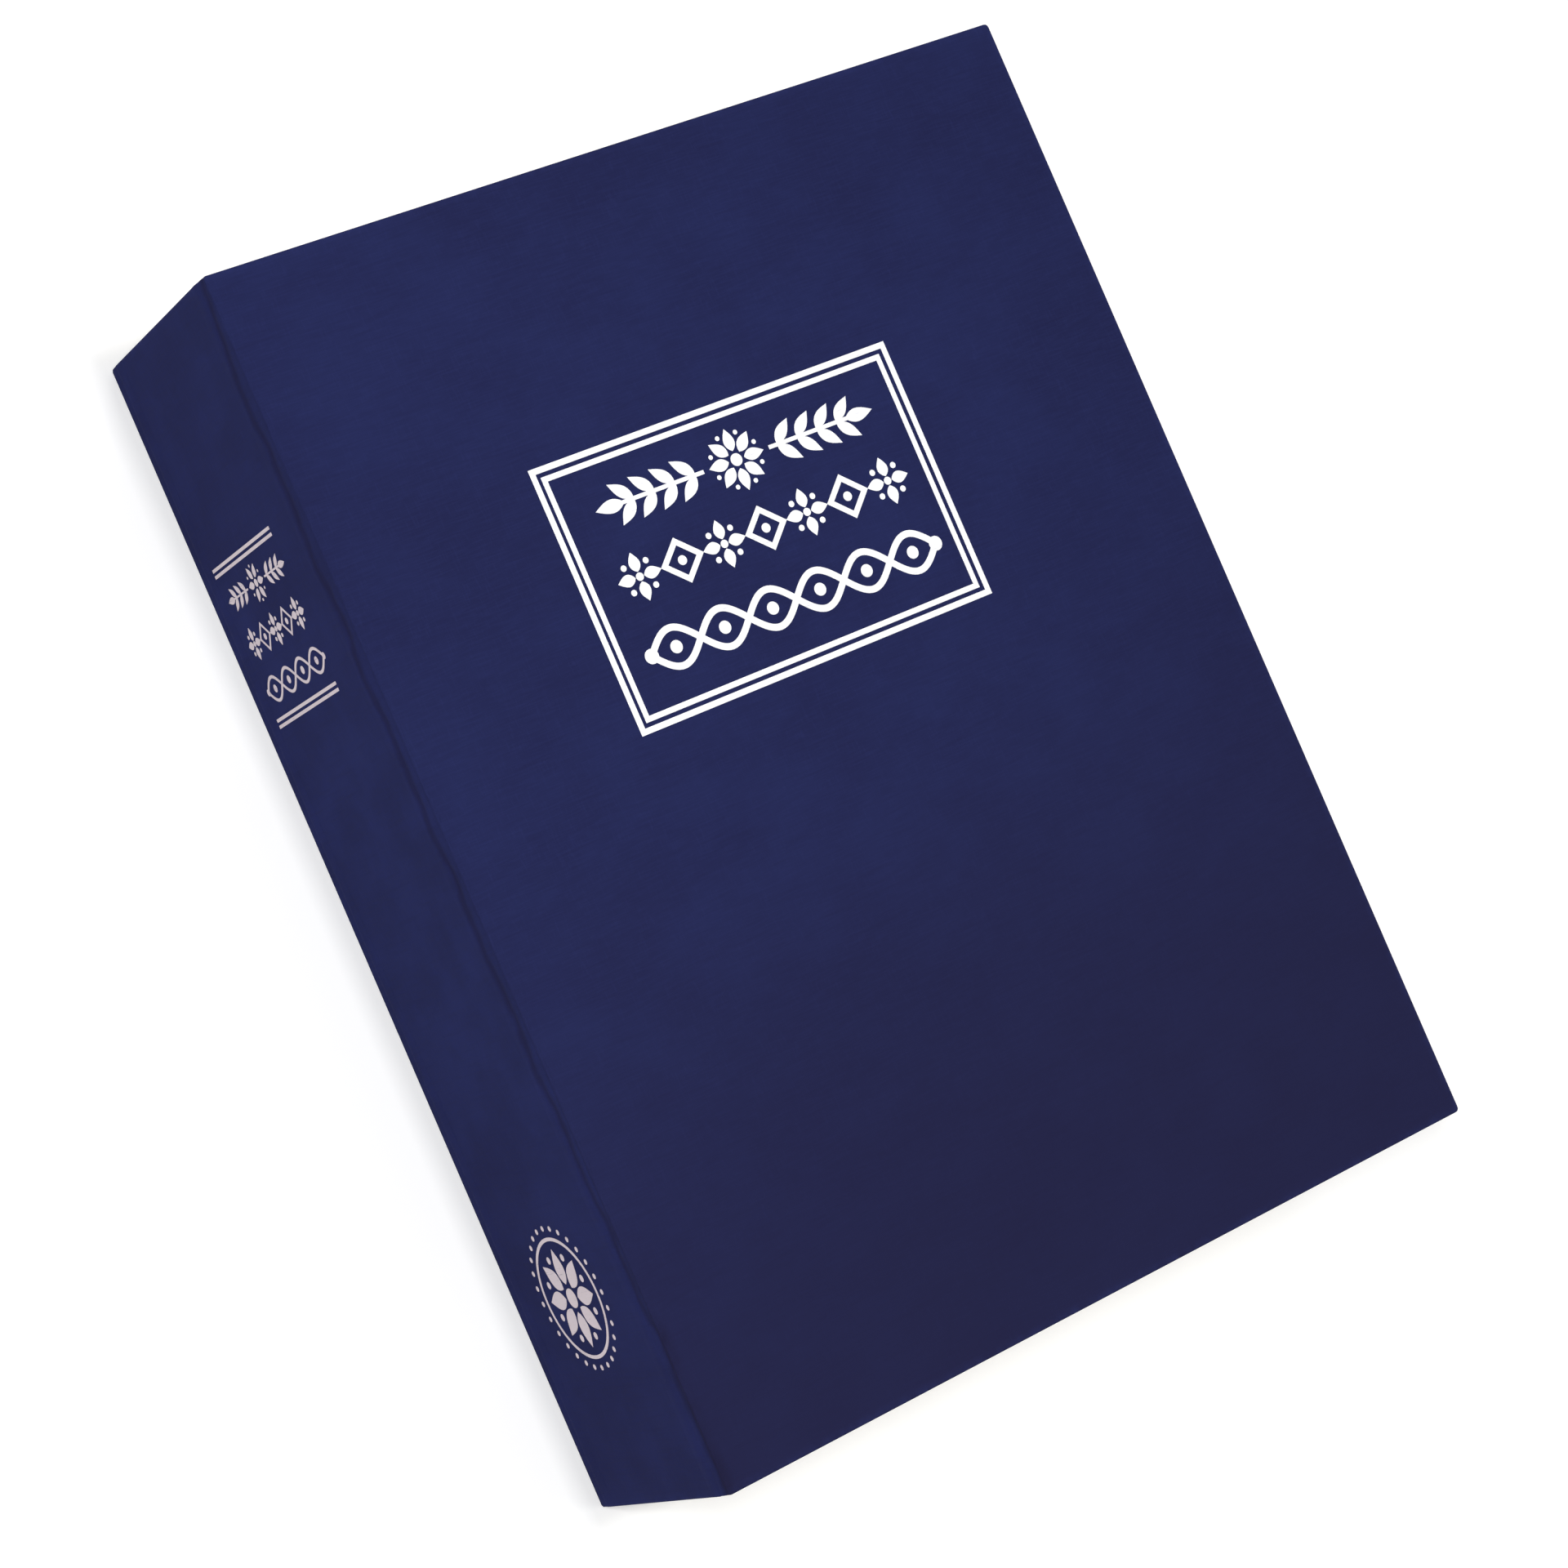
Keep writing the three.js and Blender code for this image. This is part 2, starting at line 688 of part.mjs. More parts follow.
// Face plate with a window for each wheel, a tray for the thumb button, and a boss for each screw
function facePlate() {
  const margin = facePlateOverlap;
  const plate = roundedSlab(
    roundedRectangle(
      around(0, housingHalfWidth + margin),
      [housingLowY - margin, housingHighY + margin],
      facePlateCornerRadius,
    ),
    [facePlateBottomZ - facePlateEdgeRadius, facePlateTopZ],
    facePlateEdgeRadius,
  );
  const size = [
    around(0, housingHalfWidth + margin + overrun),
    [housingLowY - margin - overrun, housingHighY + margin + overrun],
  ];
  const under = block(...size, [facePlateBottomZ - facePlateEdgeRadius - overrun, facePlateBottomZ]);
  const through = [facePlateBottomZ - bossLength, facePlateTopZ + overrun];
  const chord = Math.sqrt(wheelRadius ** 2 - (facePlateBottomZ - wheelZ) ** 2);
  const windows = wheelYs.map((y) =>
    block(around(0, chord + windowGap), around(y, wheelWidth / 2 + windowGap), through),
  );
  const tray = block(
    around(0, buttonHalfWidth + buttonGap),
    [buttonY - slideTravel - buttonGap, buttonY + buttonLength + buttonGap],
    [trayZ, facePlateTopZ + overrun],
  );
  const slot = block(
    around(0, stemHalfWidth + sliderClearance),
    [stemY - slideTravel - sliderClearance, stemY + stemLength + sliderClearance],
    through,
  );
  const bosses = screwPlaces().map(([x, y]) =>
    holeZ(x, y, bossRadius, [facePlateBottomZ - bossLength, facePlateBottomZ + facePlateThickness / 2]),
  );
  const threads = screwPlaces().map(([x, y]) =>
    holeZ(x, y, screwRadius + screwThreadClearance, [
      facePlateBottomZ - bossLength - overrun,
      facePlateBottomZ - bossRoof,
    ]),
  );
  return cut(join(cut(plate, under), ...bosses), ...windows, tray, slot, ...threads);
}

// Housing that carries the code sleeves in its cross walls and guides the slider
function lockHousing() {
  const chamberGap = wheelWidth / 2 + wheelChamberGap;
  const full = [housingBottomZ - overrun, housingTopZ + overrun];
  const body = block(
    around(0, housingHalfWidth),
    [housingLowY, housingHighY],
    [housingBottomZ, housingTopZ],
  );
  const wheelRooms = wheelYs.map((y) => block(around(0, wheelChamberHalfWidth), around(y, chamberGap), full));
  const slideRoom = block(
    around(0, sliderHalfWidth + sliderClearance),
    [bearingHighY, slideRoomEndY],
    full,
  );
  const hubRoom = hubRadius + bearingClearance;
  const resetRoom = block(
    around(0, hubRoom),
    [resetRoomY, bearingLowY],
    [housingBottomZ - overrun, wheelZ + hubRoom],
  );
  const leverChannel = block(
    around(0, leverHalfWidth + leverClearance),
    [resetRoomY, leverForkY + leverLength + codeTravel + leverClearance],
    [housingBottomZ - overrun, leverPlateZ + leverPlateThickness + leverClearance],
  );
  const bearings = holeY(0, wheelZ, hubRoom, [bearingLowY - overrun, lastWheelY]);
  const spindleHole = holeY(0, wheelZ, spindleRadius + spindleClearance, [
    resetRoomY - spindleTail - slideTravel - spindleClearance,
    bearingHighY + overrun,
  ]);
  const springSlot = block(
    from(-wheelChamberHalfWidth, springWallGap + springThickness + springSlotGap),
    [bearingLowY + housingBearing, bearingHighY - housingBearing],
    [housingBottomZ - overrun, housingBottomZ + springBaseHeight + springSlotGap],
  );
  const latchSlot = block(
    [0, housingHalfWidth + overrun],
    [latchY - slideTravel - sliderClearance, latchY + latchWidth + sliderClearance],
    [latchTopZ - latchThickness - sliderClearance, latchTopZ + sliderClearance],
  );
  const screws = screwPlaces().flatMap(([x, y]) => [
    holeZ(x, y, screwRadius + screwClearance, full),
    holeZ(x, y, bossRadius + bossClearance, [
      facePlateBottomZ - bossLength - bossClearance,
      housingTopZ + overrun,
    ]),
  ]);
  return cut(
    body,
    ...wheelRooms,
    slideRoom,
    resetRoom,
    leverChannel,
    bearings,
    spindleHole,
    springSlot,
    latchSlot,
    ...screws,
  );
}

// Plate that closes the housing, with a slot for the reset lever
function backPlate() {
  const through = [backPlateBottomZ - overrun, backPlateTopZ + overrun];
  const plate = prismZ(
    roundedRectangle(around(0, housingHalfWidth), [housingLowY, housingHighY], buttonCornerRadius),
    [backPlateBottomZ, backPlateTopZ],
  );
  const neckY = leverTabY + (leverTabLength - leverNeckLength) / 2;
  const slot = block(
    around(0, leverNeckHalfWidth + leverClearance),
    [neckY - leverClearance, neckY + leverNeckLength + codeTravel + leverClearance],
    through,
  );
  const holes = screwPlaces().map(([x, y]) => holeZ(x, y, screwRadius + screwClearance, through));
  return cut(plate, slot, ...holes);
}

// Rim outline of a number wheel: a land for each digit and a finger scallop between lands
function wheelRim() {
  const rim = new THREE.Shape();
  const step = (2 * Math.PI) / digitCount;
  const top = Math.PI / 2;
  for (let i = 0; i < digitCount; i++) {
    const middle = top + i * step;
    const start = middle - step / 2 + scallopHalfAngle;
    const end = middle + step / 2 - scallopHalfAngle;
    for (let k = 0; k <= landSteps; k++) {
      const angle = start + ((end - start) * k) / landSteps;
      const at = [wheelRadius * Math.cos(angle), wheelRadius * Math.sin(angle)];
      i + k === 0 ? rim.moveTo(...at) : rim.lineTo(...at);
    }
    const valley = middle + step / 2;
    const depth = wheelRadius - scallopDepth;
    rim.lineTo(depth * Math.cos(valley), depth * Math.sin(valley));
  }
  rim.closePath();
  return rim;
}

// Ten radial blocks round the Y axis, as splines or as the tools that cut their grooves
function splineBlocks(reach, halfWidth, span) {
  return Array.from({ length: digitCount }, (_, i) => {
    const box = new THREE.BoxGeometry(2 * halfWidth, span[1] - span[0], reach - hubRadius);
    box.translate(0, (span[0] + span[1]) / 2, (reach + hubRadius) / 2);
    return solidOf(box.rotateY((i * 2 * Math.PI) / digitCount));
  });
}

// Number wheel: splined on its tail side, and counterbored on its head side to free a pushed sleeve
function numberWheel() {
  const grooveReach = wheelBoreRadius + splineGrooveDepth;
  const grooveEnd = collarHeadReach + splineClearance;
  const grooves = splineBlocks(grooveReach, splineWidth / 2 + splineClearance, [
    -wheelWidth / 2 - overrun,
    grooveEnd + splineClearance,
  ]);
  const bore = holeY(0, 0, wheelBoreRadius, around(0, wheelWidth / 2 + overrun));
  const counterbore = holeY(0, 0, grooveReach, [grooveEnd, wheelWidth / 2 + overrun]);
  return cut(prismY(wheelRim(), around(0, wheelWidth / 2)), bore, counterbore, ...grooves);
}

// Code sleeve: a collar that carries the wheel, a tail hub that turns in the housing's wall and reaches the
// next sleeve, and a web whose keyway lets a spindle tooth pass
function codeSleeve() {
  const splines = splineBlocks(
    wheelBoreRadius + splineGrooveDepth - splineTipClearance,
    splineWidth / 2,
    [-splineTailReach, collarHeadReach],
  );
  const body = join(
    holeY(0, 0, collarRadius, [-collarTailReach, collarHeadReach]),
    holeY(0, 0, hubRadius, [-hubTailReach, hubHeadReach]),
    ...splines,
  );
  const bore = (span) => holeY(0, 0, sleeveBoreRadius, span);
  const keyway = block(
    around(0, toothWidth / 2 + keywayClearance),
    around(0, webThickness),
    [-toothReach - keywayClearance, 0],
  );
  return cut(
    body,
    bore([webThickness / 2, hubHeadReach + overrun]),
    bore([-hubTailReach - overrun, -webThickness / 2]),
    holeY(0, 0, spindleRadius + spindleClearance, around(0, webThickness)),
    keyway,
  );
}

// The centre line of a coil round the Y axis
class Coil extends THREE.Curve {
  constructor(radius, turns, [start, end]) {
    super();
    Object.assign(this, { radius, turns, start, end });
  }

  getPoint(t, target = new THREE.Vector3()) {
    const angle = 2 * Math.PI * this.turns * t;
    const y = this.start + (this.end - this.start) * t;
    return target.set(this.radius * Math.cos(angle), y, this.radius * Math.sin(angle));
  }
}

// Spring between the last sleeve's collar and the housing wall, which returns the sleeves after a code change
function returnSpring() {
  const wallY = wheelWidth / 2 + wheelChamberGap;
  const radius = hubRadius + bearingClearance + returnWireRadius;
  const path = new Coil(radius, returnCoilTurns, [
    collarHeadReach + returnCoilGap + returnWireRadius,
    wallY - returnCoilGap - returnWireRadius,
  ]);
  const section = new THREE.Shape(
    Array.from({ length: returnCoilSides }, (_, i) => {
      const angle = (2 * Math.PI * i) / returnCoilSides;
      return new THREE.Vector2(returnWireRadius * Math.cos(angle), returnWireRadius * Math.sin(angle));
    }),
  );
  const steps = Math.round(returnCoilTurns * returnCoilSteps);
  return solidOf(new THREE.ExtrudeGeometry(section, { steps, extrudePath: path }));
}

// Spindle with one tooth for each code sleeve
function spindle() {
  const shaft = holeY(0, wheelZ, spindleRadius, [
    resetRoomY - spindleTail,
    sliderY + spindleSocket - spindleClearance,
  ]);
  const teeth = wheelYs.map((y) =>
    block(
      around(0, toothWidth / 2),
      around(y + codeTravel, toothThickness / 2),
      [wheelZ - toothReach, wheelZ],
    ),
  );
  return join(shaft, ...teeth);
}

// Slider block on the spindle's end, with the latch arm that slides under the strike
function latchSlider() {
  const body = block(
    around(0, sliderHalfWidth),
    from(sliderY, sliderLength),
    [sliderBottomZ, sliderTopZ],
  );
  const latchTipX = boxFlangeInnerX - latchPassGap - lockX;
  const arm = block([0, latchTipX], from(latchY, latchWidth), [latchTopZ - latchThickness, latchTopZ]);
  const socket = holeY(0, wheelZ, spindleRadius + glueLine, [sliderY - overrun, sliderY + spindleSocket]);
  const stemPocket = block(
    around(0, stemHalfWidth + stemClearance),
    [stemY - stemClearance, stemY + stemLength + stemClearance],
    [sliderTopZ - stemSocket - stemClearance, sliderTopZ + overrun],
  );
  return cut(join(body, arm), socket, stemPocket);
}

// Thumb button with grip grooves and the stem that drives the slider
function thumbButton() {
  const bottom = trayZ + glueLine;
  const cap = roundedSlab(
    roundedRectangle(around(0, buttonHalfWidth), from(buttonY, buttonLength), buttonCornerRadius),
    from(bottom, buttonHeight),
    buttonEdgeRadius,
  );
  const stem = block(
    around(0, stemHalfWidth),
    from(stemY, stemLength),
    [sliderTopZ - stemSocket, bottom + buttonEdgeRadius],
  );
  const grooves = Array.from({ length: gripGrooveCount }, (_, i) => {
    const y = buttonY + ((i + 1) * buttonLength) / (gripGrooveCount + 1);
    return block(
      around(0, buttonHalfWidth + overrun),
      around(y, gripGrooveWidth / 2),
      [bottom + buttonHeight - gripGrooveDepth, bottom + buttonHeight + overrun],
    );
  });
  return cut(join(cap, stem), ...grooves);
}

// Comb of three leaf springs whose bumps drop into the wheels' scallops
function detentSpring() {
  const x = from(-wheelChamberHalfWidth + springWallGap, springThickness);
  const base = block(
    x,
    [firstWheelY - springFingerWidth / 2, lastWheelY + springFingerWidth / 2],
    from(housingBottomZ, springBaseHeight),
  );
  const fingers = wheelYs.flatMap((y) => [
    block(x, around(y, springFingerWidth / 2), [housingBottomZ, wheelZ + springFingerAbove]),
    holeY(x[0], wheelZ, springBumpRadius, around(y, springFingerWidth / 2)),
  ]);
  const behind = block(
    [x[0] - springBumpRadius - overrun, x[0]],
    [firstWheelY - wheelPitch, lastWheelY + wheelPitch],
    [housingBottomZ, wheelZ + wheelRadius],
  );
  return cut(join(base, ...fingers), behind);
}

// Code-change lever: a tab outside the back plate, and a forked plate that presses on the sleeves
function resetLever() {
  const plate = block(
    around(0, leverHalfWidth),
    from(leverForkY, leverLength),
    from(leverPlateZ, leverPlateThickness),
  );
  const fork = cut(
    block(
      around(0, leverHalfWidth),
      from(leverForkY, leverForkThickness),
      [leverPlateZ, wheelZ + leverForkAbove],
    ),
    block(
      around(0, leverForkNotch),
      from(leverForkY - overrun, leverForkThickness + 2 * overrun),
      [wheelZ - leverForkNotch, wheelZ + leverForkAbove + overrun],
    ),
  );
  const tabZ = [backPlateBottomZ - leverClearance - leverTabHeight, backPlateBottomZ - leverClearance];
  const tab = block(around(0, leverTabHalfWidth), from(leverTabY, leverTabLength), tabZ);
  const neck = block(
    around(0, leverNeckHalfWidth),
    from(leverTabY + (leverTabLength - leverNeckLength) / 2, leverNeckLength),
    [tabZ[0] + leverTabHeight / 2, leverPlateZ + leverPlateThickness / 2],
  );
  return join(plate, fork, neck, tab);
}

// Pan-head screw standing on z 0 under the back plate, with a cross recess in its head
function lockScrew() {
  const shankLength = facePlateBottomZ - bossRoof - screwTipGap - backPlateBottomZ;
  const profile = new THREE.Path();
  profile.moveTo(0, -screwHeadHeight);
  profile.lineTo(screwHeadRadius - screwHeadHeight / 2, -screwHeadHeight);
  profile.lineTo(screwHeadRadius, -screwHeadHeight / 2);
  profile.lineTo(screwHeadRadius, -glueLine);
  profile.lineTo(screwRadius, -glueLine);
  profile.lineTo(screwRadius, shankLength - screwRadius);
  profile.lineTo(0, shankLength);
  const lathe = new THREE.LatheGeometry(profile.getPoints(cornerSteps), rivetSteps);
  const bar = [
    around(0, screwHeadRadius / 2),
    around(0, crossRecessWidth / 2),
  ];
  const depth = [-screwHeadHeight - overrun, -screwHeadHeight + crossRecessDepth];
  return cut(
    solidOf(lathe.rotateX(Math.PI / 2)),
    block(bar[0], bar[1], depth),
    block(bar[1], bar[0], depth),
  );
}

// The whole lock, laid out along Y from its middle wheel
function combinationLock() {
  const lock = group(
    piece("lock_face_plate", facePlate(), "castMetal"),
    piece("lock_housing", lockHousing(), "blackPlastic"),
    piece("lock_back_plate", backPlate(), "plainSteel"),
    piece("lock_spindle", spindle(), "plainSteel"),
    piece("latch_slider", latchSlider(), "castMetal"),
    piece("thumb_button", thumbButton(), "castMetal"),
    piece("detent_spring", detentSpring(), "springSteel"),
    piece("reset_lever", resetLever(), "blackPlastic"),
  );
  const spring = piece("sleeve_return_spring", returnSpring(), "springSteel");
  spring.position.set(0, lastWheelY, wheelZ);
  lock.add(spring);
  wheelYs.forEach((y, i) => {
    const wheel = group(
      piece("number_wheel_" + (i + 1), numberWheel(), "blackPlastic"),
      piece("code_sleeve_" + (i + 1), codeSleeve(), "castMetal"),
    );
    wheel.position.set(0, y, wheelZ);
    lock.add(wheel);
  });
  screwPlaces().forEach(([x, y], i) => {
    const screw = piece("lock_screw_" + (i + 1), lockScrew(), "plainSteel");
    screw.position.set(x, y, backPlateBottomZ);
    lock.add(screw);
  });
  lock.position.x = lockX;
  return lock;
}

function bookCase() {
  const coverWidth = bookWidth - coverSetback;
  const front = casePanel("front_cover", coverWidth, foreCornerRadius);
  front.position.set(coverLeft, 0, bookThickness);
  const back = casePanel("back_cover", coverWidth, foreCornerRadius);
  back.rotation.x = Math.PI;
  back.position.x = coverLeft;
  const spine = casePanel("spine", spinePanelWidth, jointCornerRadius);
  spine.rotation.y = -Math.PI / 2;
  spine.position.set(spineX, 0, panelDepth + jointGap);
  return group(
    front,
    back,
    spine,
    jointStrip("front_joint_cloth", frontInnerZ - jointGap + glueLine),
    jointStrip("back_joint_cloth", panelDepth + glueLine),
  );
}

function steelBox() {
  const wallStack = hingeSheet + glueLine + boxSheet;
  const fixedRivets = rivetRow("box_rivet", wallStack, (rivet, y) => {
    rivet.rotation.y = -Math.PI / 2;
    rivet.position.set(hingeX + knuckleRadius - hingeSheet, y, fixedRivetZ);
  });
  return group(
    piece("box_shell", boxShell(), "paintedSteel"),
    piece("latch_strike", latchStrike(), "plainSteel"),
    piece("hinge_leaf_fixed", fixedLeaf(), "paintedSteel"),
    piece("hinge_pin", hingePin(), "plainSteel"),
    ...fixedRivets,
  );
}

function steelLid() {
  const lidStack = lidSheet + glueLine + hingeSheet;
  const movingRivets = rivetRow("lid_rivet", lidStack, (rivet, y) => {
    rivet.position.set(movingRivetX, y, lidTopZ);
  });
  return group(
    piece("lid_pan", lidPan(), "paintedSteel"),
    piece("hinge_leaf_moving", movingLeaf(), "paintedSteel"),
    ...movingRivets,
    combinationLock(),
  );
}

const safe = group(
  bookCase(),
  piece("page_block", join(pageFrame(), ...pageRibs()), "pages"),
  steelBox(),
  steelLid(),
);
safe.name = "book_diversion_safe";

export default safe;
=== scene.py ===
"""Book diversion safe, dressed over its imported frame.

Lengths are in metres, or in millimetres where a class or function says so, in the frame's own axes:
X runs from the spine to the fore edge, Y from the tail to the head, and Z up through the book's
thickness. The book lies on its back cover.
"""

import logging
import math
from collections.abc import Callable, Iterable, Sequence
from dataclasses import dataclass, field
from enum import Enum
from functools import cached_property

import bmesh
import bpy
from mathutils import Matrix, Vector


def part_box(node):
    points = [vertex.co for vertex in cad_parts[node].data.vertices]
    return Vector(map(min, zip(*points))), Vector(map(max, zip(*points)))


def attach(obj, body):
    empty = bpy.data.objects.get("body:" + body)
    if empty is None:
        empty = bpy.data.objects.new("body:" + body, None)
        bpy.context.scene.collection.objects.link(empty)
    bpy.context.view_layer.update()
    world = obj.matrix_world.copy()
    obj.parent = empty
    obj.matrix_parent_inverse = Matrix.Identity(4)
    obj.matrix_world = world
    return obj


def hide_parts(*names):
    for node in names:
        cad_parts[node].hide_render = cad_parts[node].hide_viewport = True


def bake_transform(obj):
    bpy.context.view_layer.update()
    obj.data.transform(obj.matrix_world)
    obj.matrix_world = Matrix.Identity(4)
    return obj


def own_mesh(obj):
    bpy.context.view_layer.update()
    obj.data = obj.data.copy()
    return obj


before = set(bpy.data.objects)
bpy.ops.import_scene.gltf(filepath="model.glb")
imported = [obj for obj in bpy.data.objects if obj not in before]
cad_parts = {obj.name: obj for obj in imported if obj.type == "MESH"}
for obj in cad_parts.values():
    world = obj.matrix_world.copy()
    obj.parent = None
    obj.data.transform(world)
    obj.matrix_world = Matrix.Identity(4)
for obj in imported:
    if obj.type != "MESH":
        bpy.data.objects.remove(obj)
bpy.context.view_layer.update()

log = logging.getLogger("book_safe")

MM = 0.001
FULL_TURN = 2.0 * math.pi
WHITE = (1.0, 1.0, 1.0, 1.0)
# A pattern this long, in metres, doesn't change over the book.
ENDLESS = 400.0
# Points nearer to each other than this, in metres, are one point.
MERGE_GAP = 0.001 * MM
# A face is level where its normal rises by more than this.
LEVEL_RISE = 0.9995

Triple = tuple[float, float, float]
Colour = tuple[float, float, float, float]
Flat = tuple[float, float]


def tone(red: int, green: int, blue: int) -> Colour:
    """Turn a screen colour into the linear colour that shaders take.

    Args:
        red: Red, from 0 to 255.
        green: Green, from 0 to 255.
        blue: Blue, from 0 to 255.

    Returns:
        The linear colour, with alpha 1.
    """
    shares = [value / 255.0 for value in (red, green, blue)]
    linear = [s / 12.92 if s <= 0.04045 else ((s + 0.055) / 1.055) ** 2.4 for s in shares]
    return (linear[0], linear[1], linear[2], 1.0)


class Nodes:
    """A node tree, with one short call that adds a node and wires it."""

    def __init__(self, tree: bpy.types.NodeTree) -> None:
        """Keep the tree of a material, a world or a modifier."""
        self.tree = tree

    def add(
        self, kind: str, inputs: dict[str | int, object] | None = None, **options: object
    ) -> bpy.types.Node:
        """Add a node.

        Args:
            kind: The node's type.
            inputs: What each socket gets: a value, a socket to link from, or a list of sockets.
            options: The node's own settings.

        Returns:
            The new node.
        """
        node = self.tree.nodes.new(kind)
        for option, value in options.items():
            setattr(node, option, value)
        for key, value in (inputs or {}).items():
            links = value if isinstance(value, list) else [value]
            for link in links:
                if isinstance(link, bpy.types.NodeSocket):
                    self.tree.links.new(link, node.inputs[key])
                else:
                    node.inputs[key].default_value = link
        return node

    def maths(self, operation: str, first: object, second: object = 0.0) -> bpy.types.NodeSocket:
        """Work out one sum on two values and return the socket that holds it."""
        return self.add("ShaderNodeMath", {0: first, 1: second}, operation=operation).outputs[0]

    def vector(self, operation: str, first: object, second: object) -> bpy.types.NodeSocket:
        """Work out one sum on two vectors and return the socket that holds it."""
        return self.add("ShaderNodeVectorMath", {0: first, 1: second}, operation=operation).outputs[0]


class Shading(Nodes):
    """A material under construction."""

    def __init__(self, name: str) -> None:
        """Start a material with its main shader.

        Args:
            name: The material's name.
        """
        self.material = bpy.data.materials.new(name)
        self.material.use_nodes = True
        super().__init__(self.material.node_tree)
        self.shader = self.tree.nodes["Principled BSDF"]
        self.place = self.add("ShaderNodeTexCoord").outputs["Object"]

    def noise(self, size: Triple, detail: float = 2.0, shift: float = 0.0) -> bpy.types.NodeSocket:
        """Add noise whose features have a given size along each axis.

        Args:
            size: Feature size along X, Y and Z, in metres.
            detail: Number of finer layers.
            shift: Moves the pattern, so that two layers differ.

        Returns:
            The noise value, from 0 to 1.
        """
        scale = tuple(1.0 / part for part in size)
        mapping = {"Vector": self.place, "Scale": scale, "Location": (shift, shift, shift)}
        mapped = self.add("ShaderNodeMapping", mapping)
        inputs = {"Vector": mapped.outputs[0], "Scale": 1.0, "Detail": detail}
        return self.add("ShaderNodeTexNoise", inputs).outputs["Fac"]

    def stretch(
        self,
        value: bpy.types.NodeSocket,
        low: float,
        high: float,
        to_low: float = 0.0,
        to_high: float = 1.0,
    ) -> bpy.types.NodeSocket:
        """Map a range of a value smoothly onto another range.

        Args:
            value: The value.
            low: Low end of its range.
            high: High end of its range.
            to_low: What the low end becomes.
            to_high: What the high end becomes.

        Returns:
            The mapped value.
        """
        ends = {"From Min": low, "From Max": high, "To Min": to_low, "To Max": to_high}
        inputs = {"Value": value, **ends}
        return self.add("ShaderNodeMapRange", inputs, interpolation_type="SMOOTHSTEP").outputs["Result"]

    def mix(self, share: object, first: object, second: object) -> bpy.types.NodeSocket:
        """Mix two colours by a share from 0 to 1."""
        node = self.add("ShaderNodeMix", {0: share, 6: first, 7: second}, data_type="RGBA")
        return node.outputs[2]

    def tint(
        self,
        base: object,
        over: Colour,
        pattern: bpy.types.NodeSocket,
        low: float,
        high: float,
        share: float = 1.0,
    ) -> bpy.types.NodeSocket:
        """Lay a share of a colour over a base, from a pattern's low value up to its high one."""
        return self.mix(self.stretch(pattern, low, high, 0.0, share), base, over)

    def bump(self, height: bpy.types.NodeSocket, depth: float, strength: float = 1.0) -> None:
        """Let a height pattern tilt the surface.

        Args:
            height: The pattern, from 0 to 1.
            depth: Height of the pattern in metres.
            strength: Share of the effect.
        """
        before = self.shader.inputs["Normal"].links
        inputs: dict[str | int, object] = {"Height": height, "Distance": depth, "Strength": strength}
        if before:
            inputs["Normal"] = before[0].from_socket
        made = self.add("ShaderNodeBump", inputs)
        self.tree.links.new(made.outputs["Normal"], self.shader.inputs["Normal"])

    def wire(self, **sockets: object) -> bpy.types.Material:
        """Set or link the main shader's sockets.

        Args:
            sockets: A value or a socket to link from, under the socket's name with _ for a blank.

        Returns:
            The material.
        """
        for name, value in sockets.items():
            socket = self.shader.inputs[name.replace("_", " ")]
            if isinstance(value, bpy.types.NodeSocket):
                self.tree.links.new(value, socket)
            else:
                socket.default_value = value
        return self.material


class Grain(Enum):
    """The axis along which a finish is drawn, woven or brushed."""

    X = 0
    Y = 1
    Z = 2

    def size(self, along: float, across: float) -> Triple:
        """Make a feature size that is long on this axis and short on the others.

        Args:
            along: Size on this axis.
            across: Size on the other two.

        Returns:
            The size on X, Y and Z.
        """
        sizes = [across, across, across]
        sizes[self.value] = along
        return (sizes[0], sizes[1], sizes[2])


@dataclass(frozen=True)
class Finish:
    """A finish: its name, and the material that is made the first time it is asked for."""

    name: str

    @cached_property
    def material(self) -> bpy.types.Material:
        """The finish's material."""
        return self.build()

    def build(self) -> bpy.types.Material:
        """Make the material. Each kind of finish has its own way."""
        raise NotImplementedError


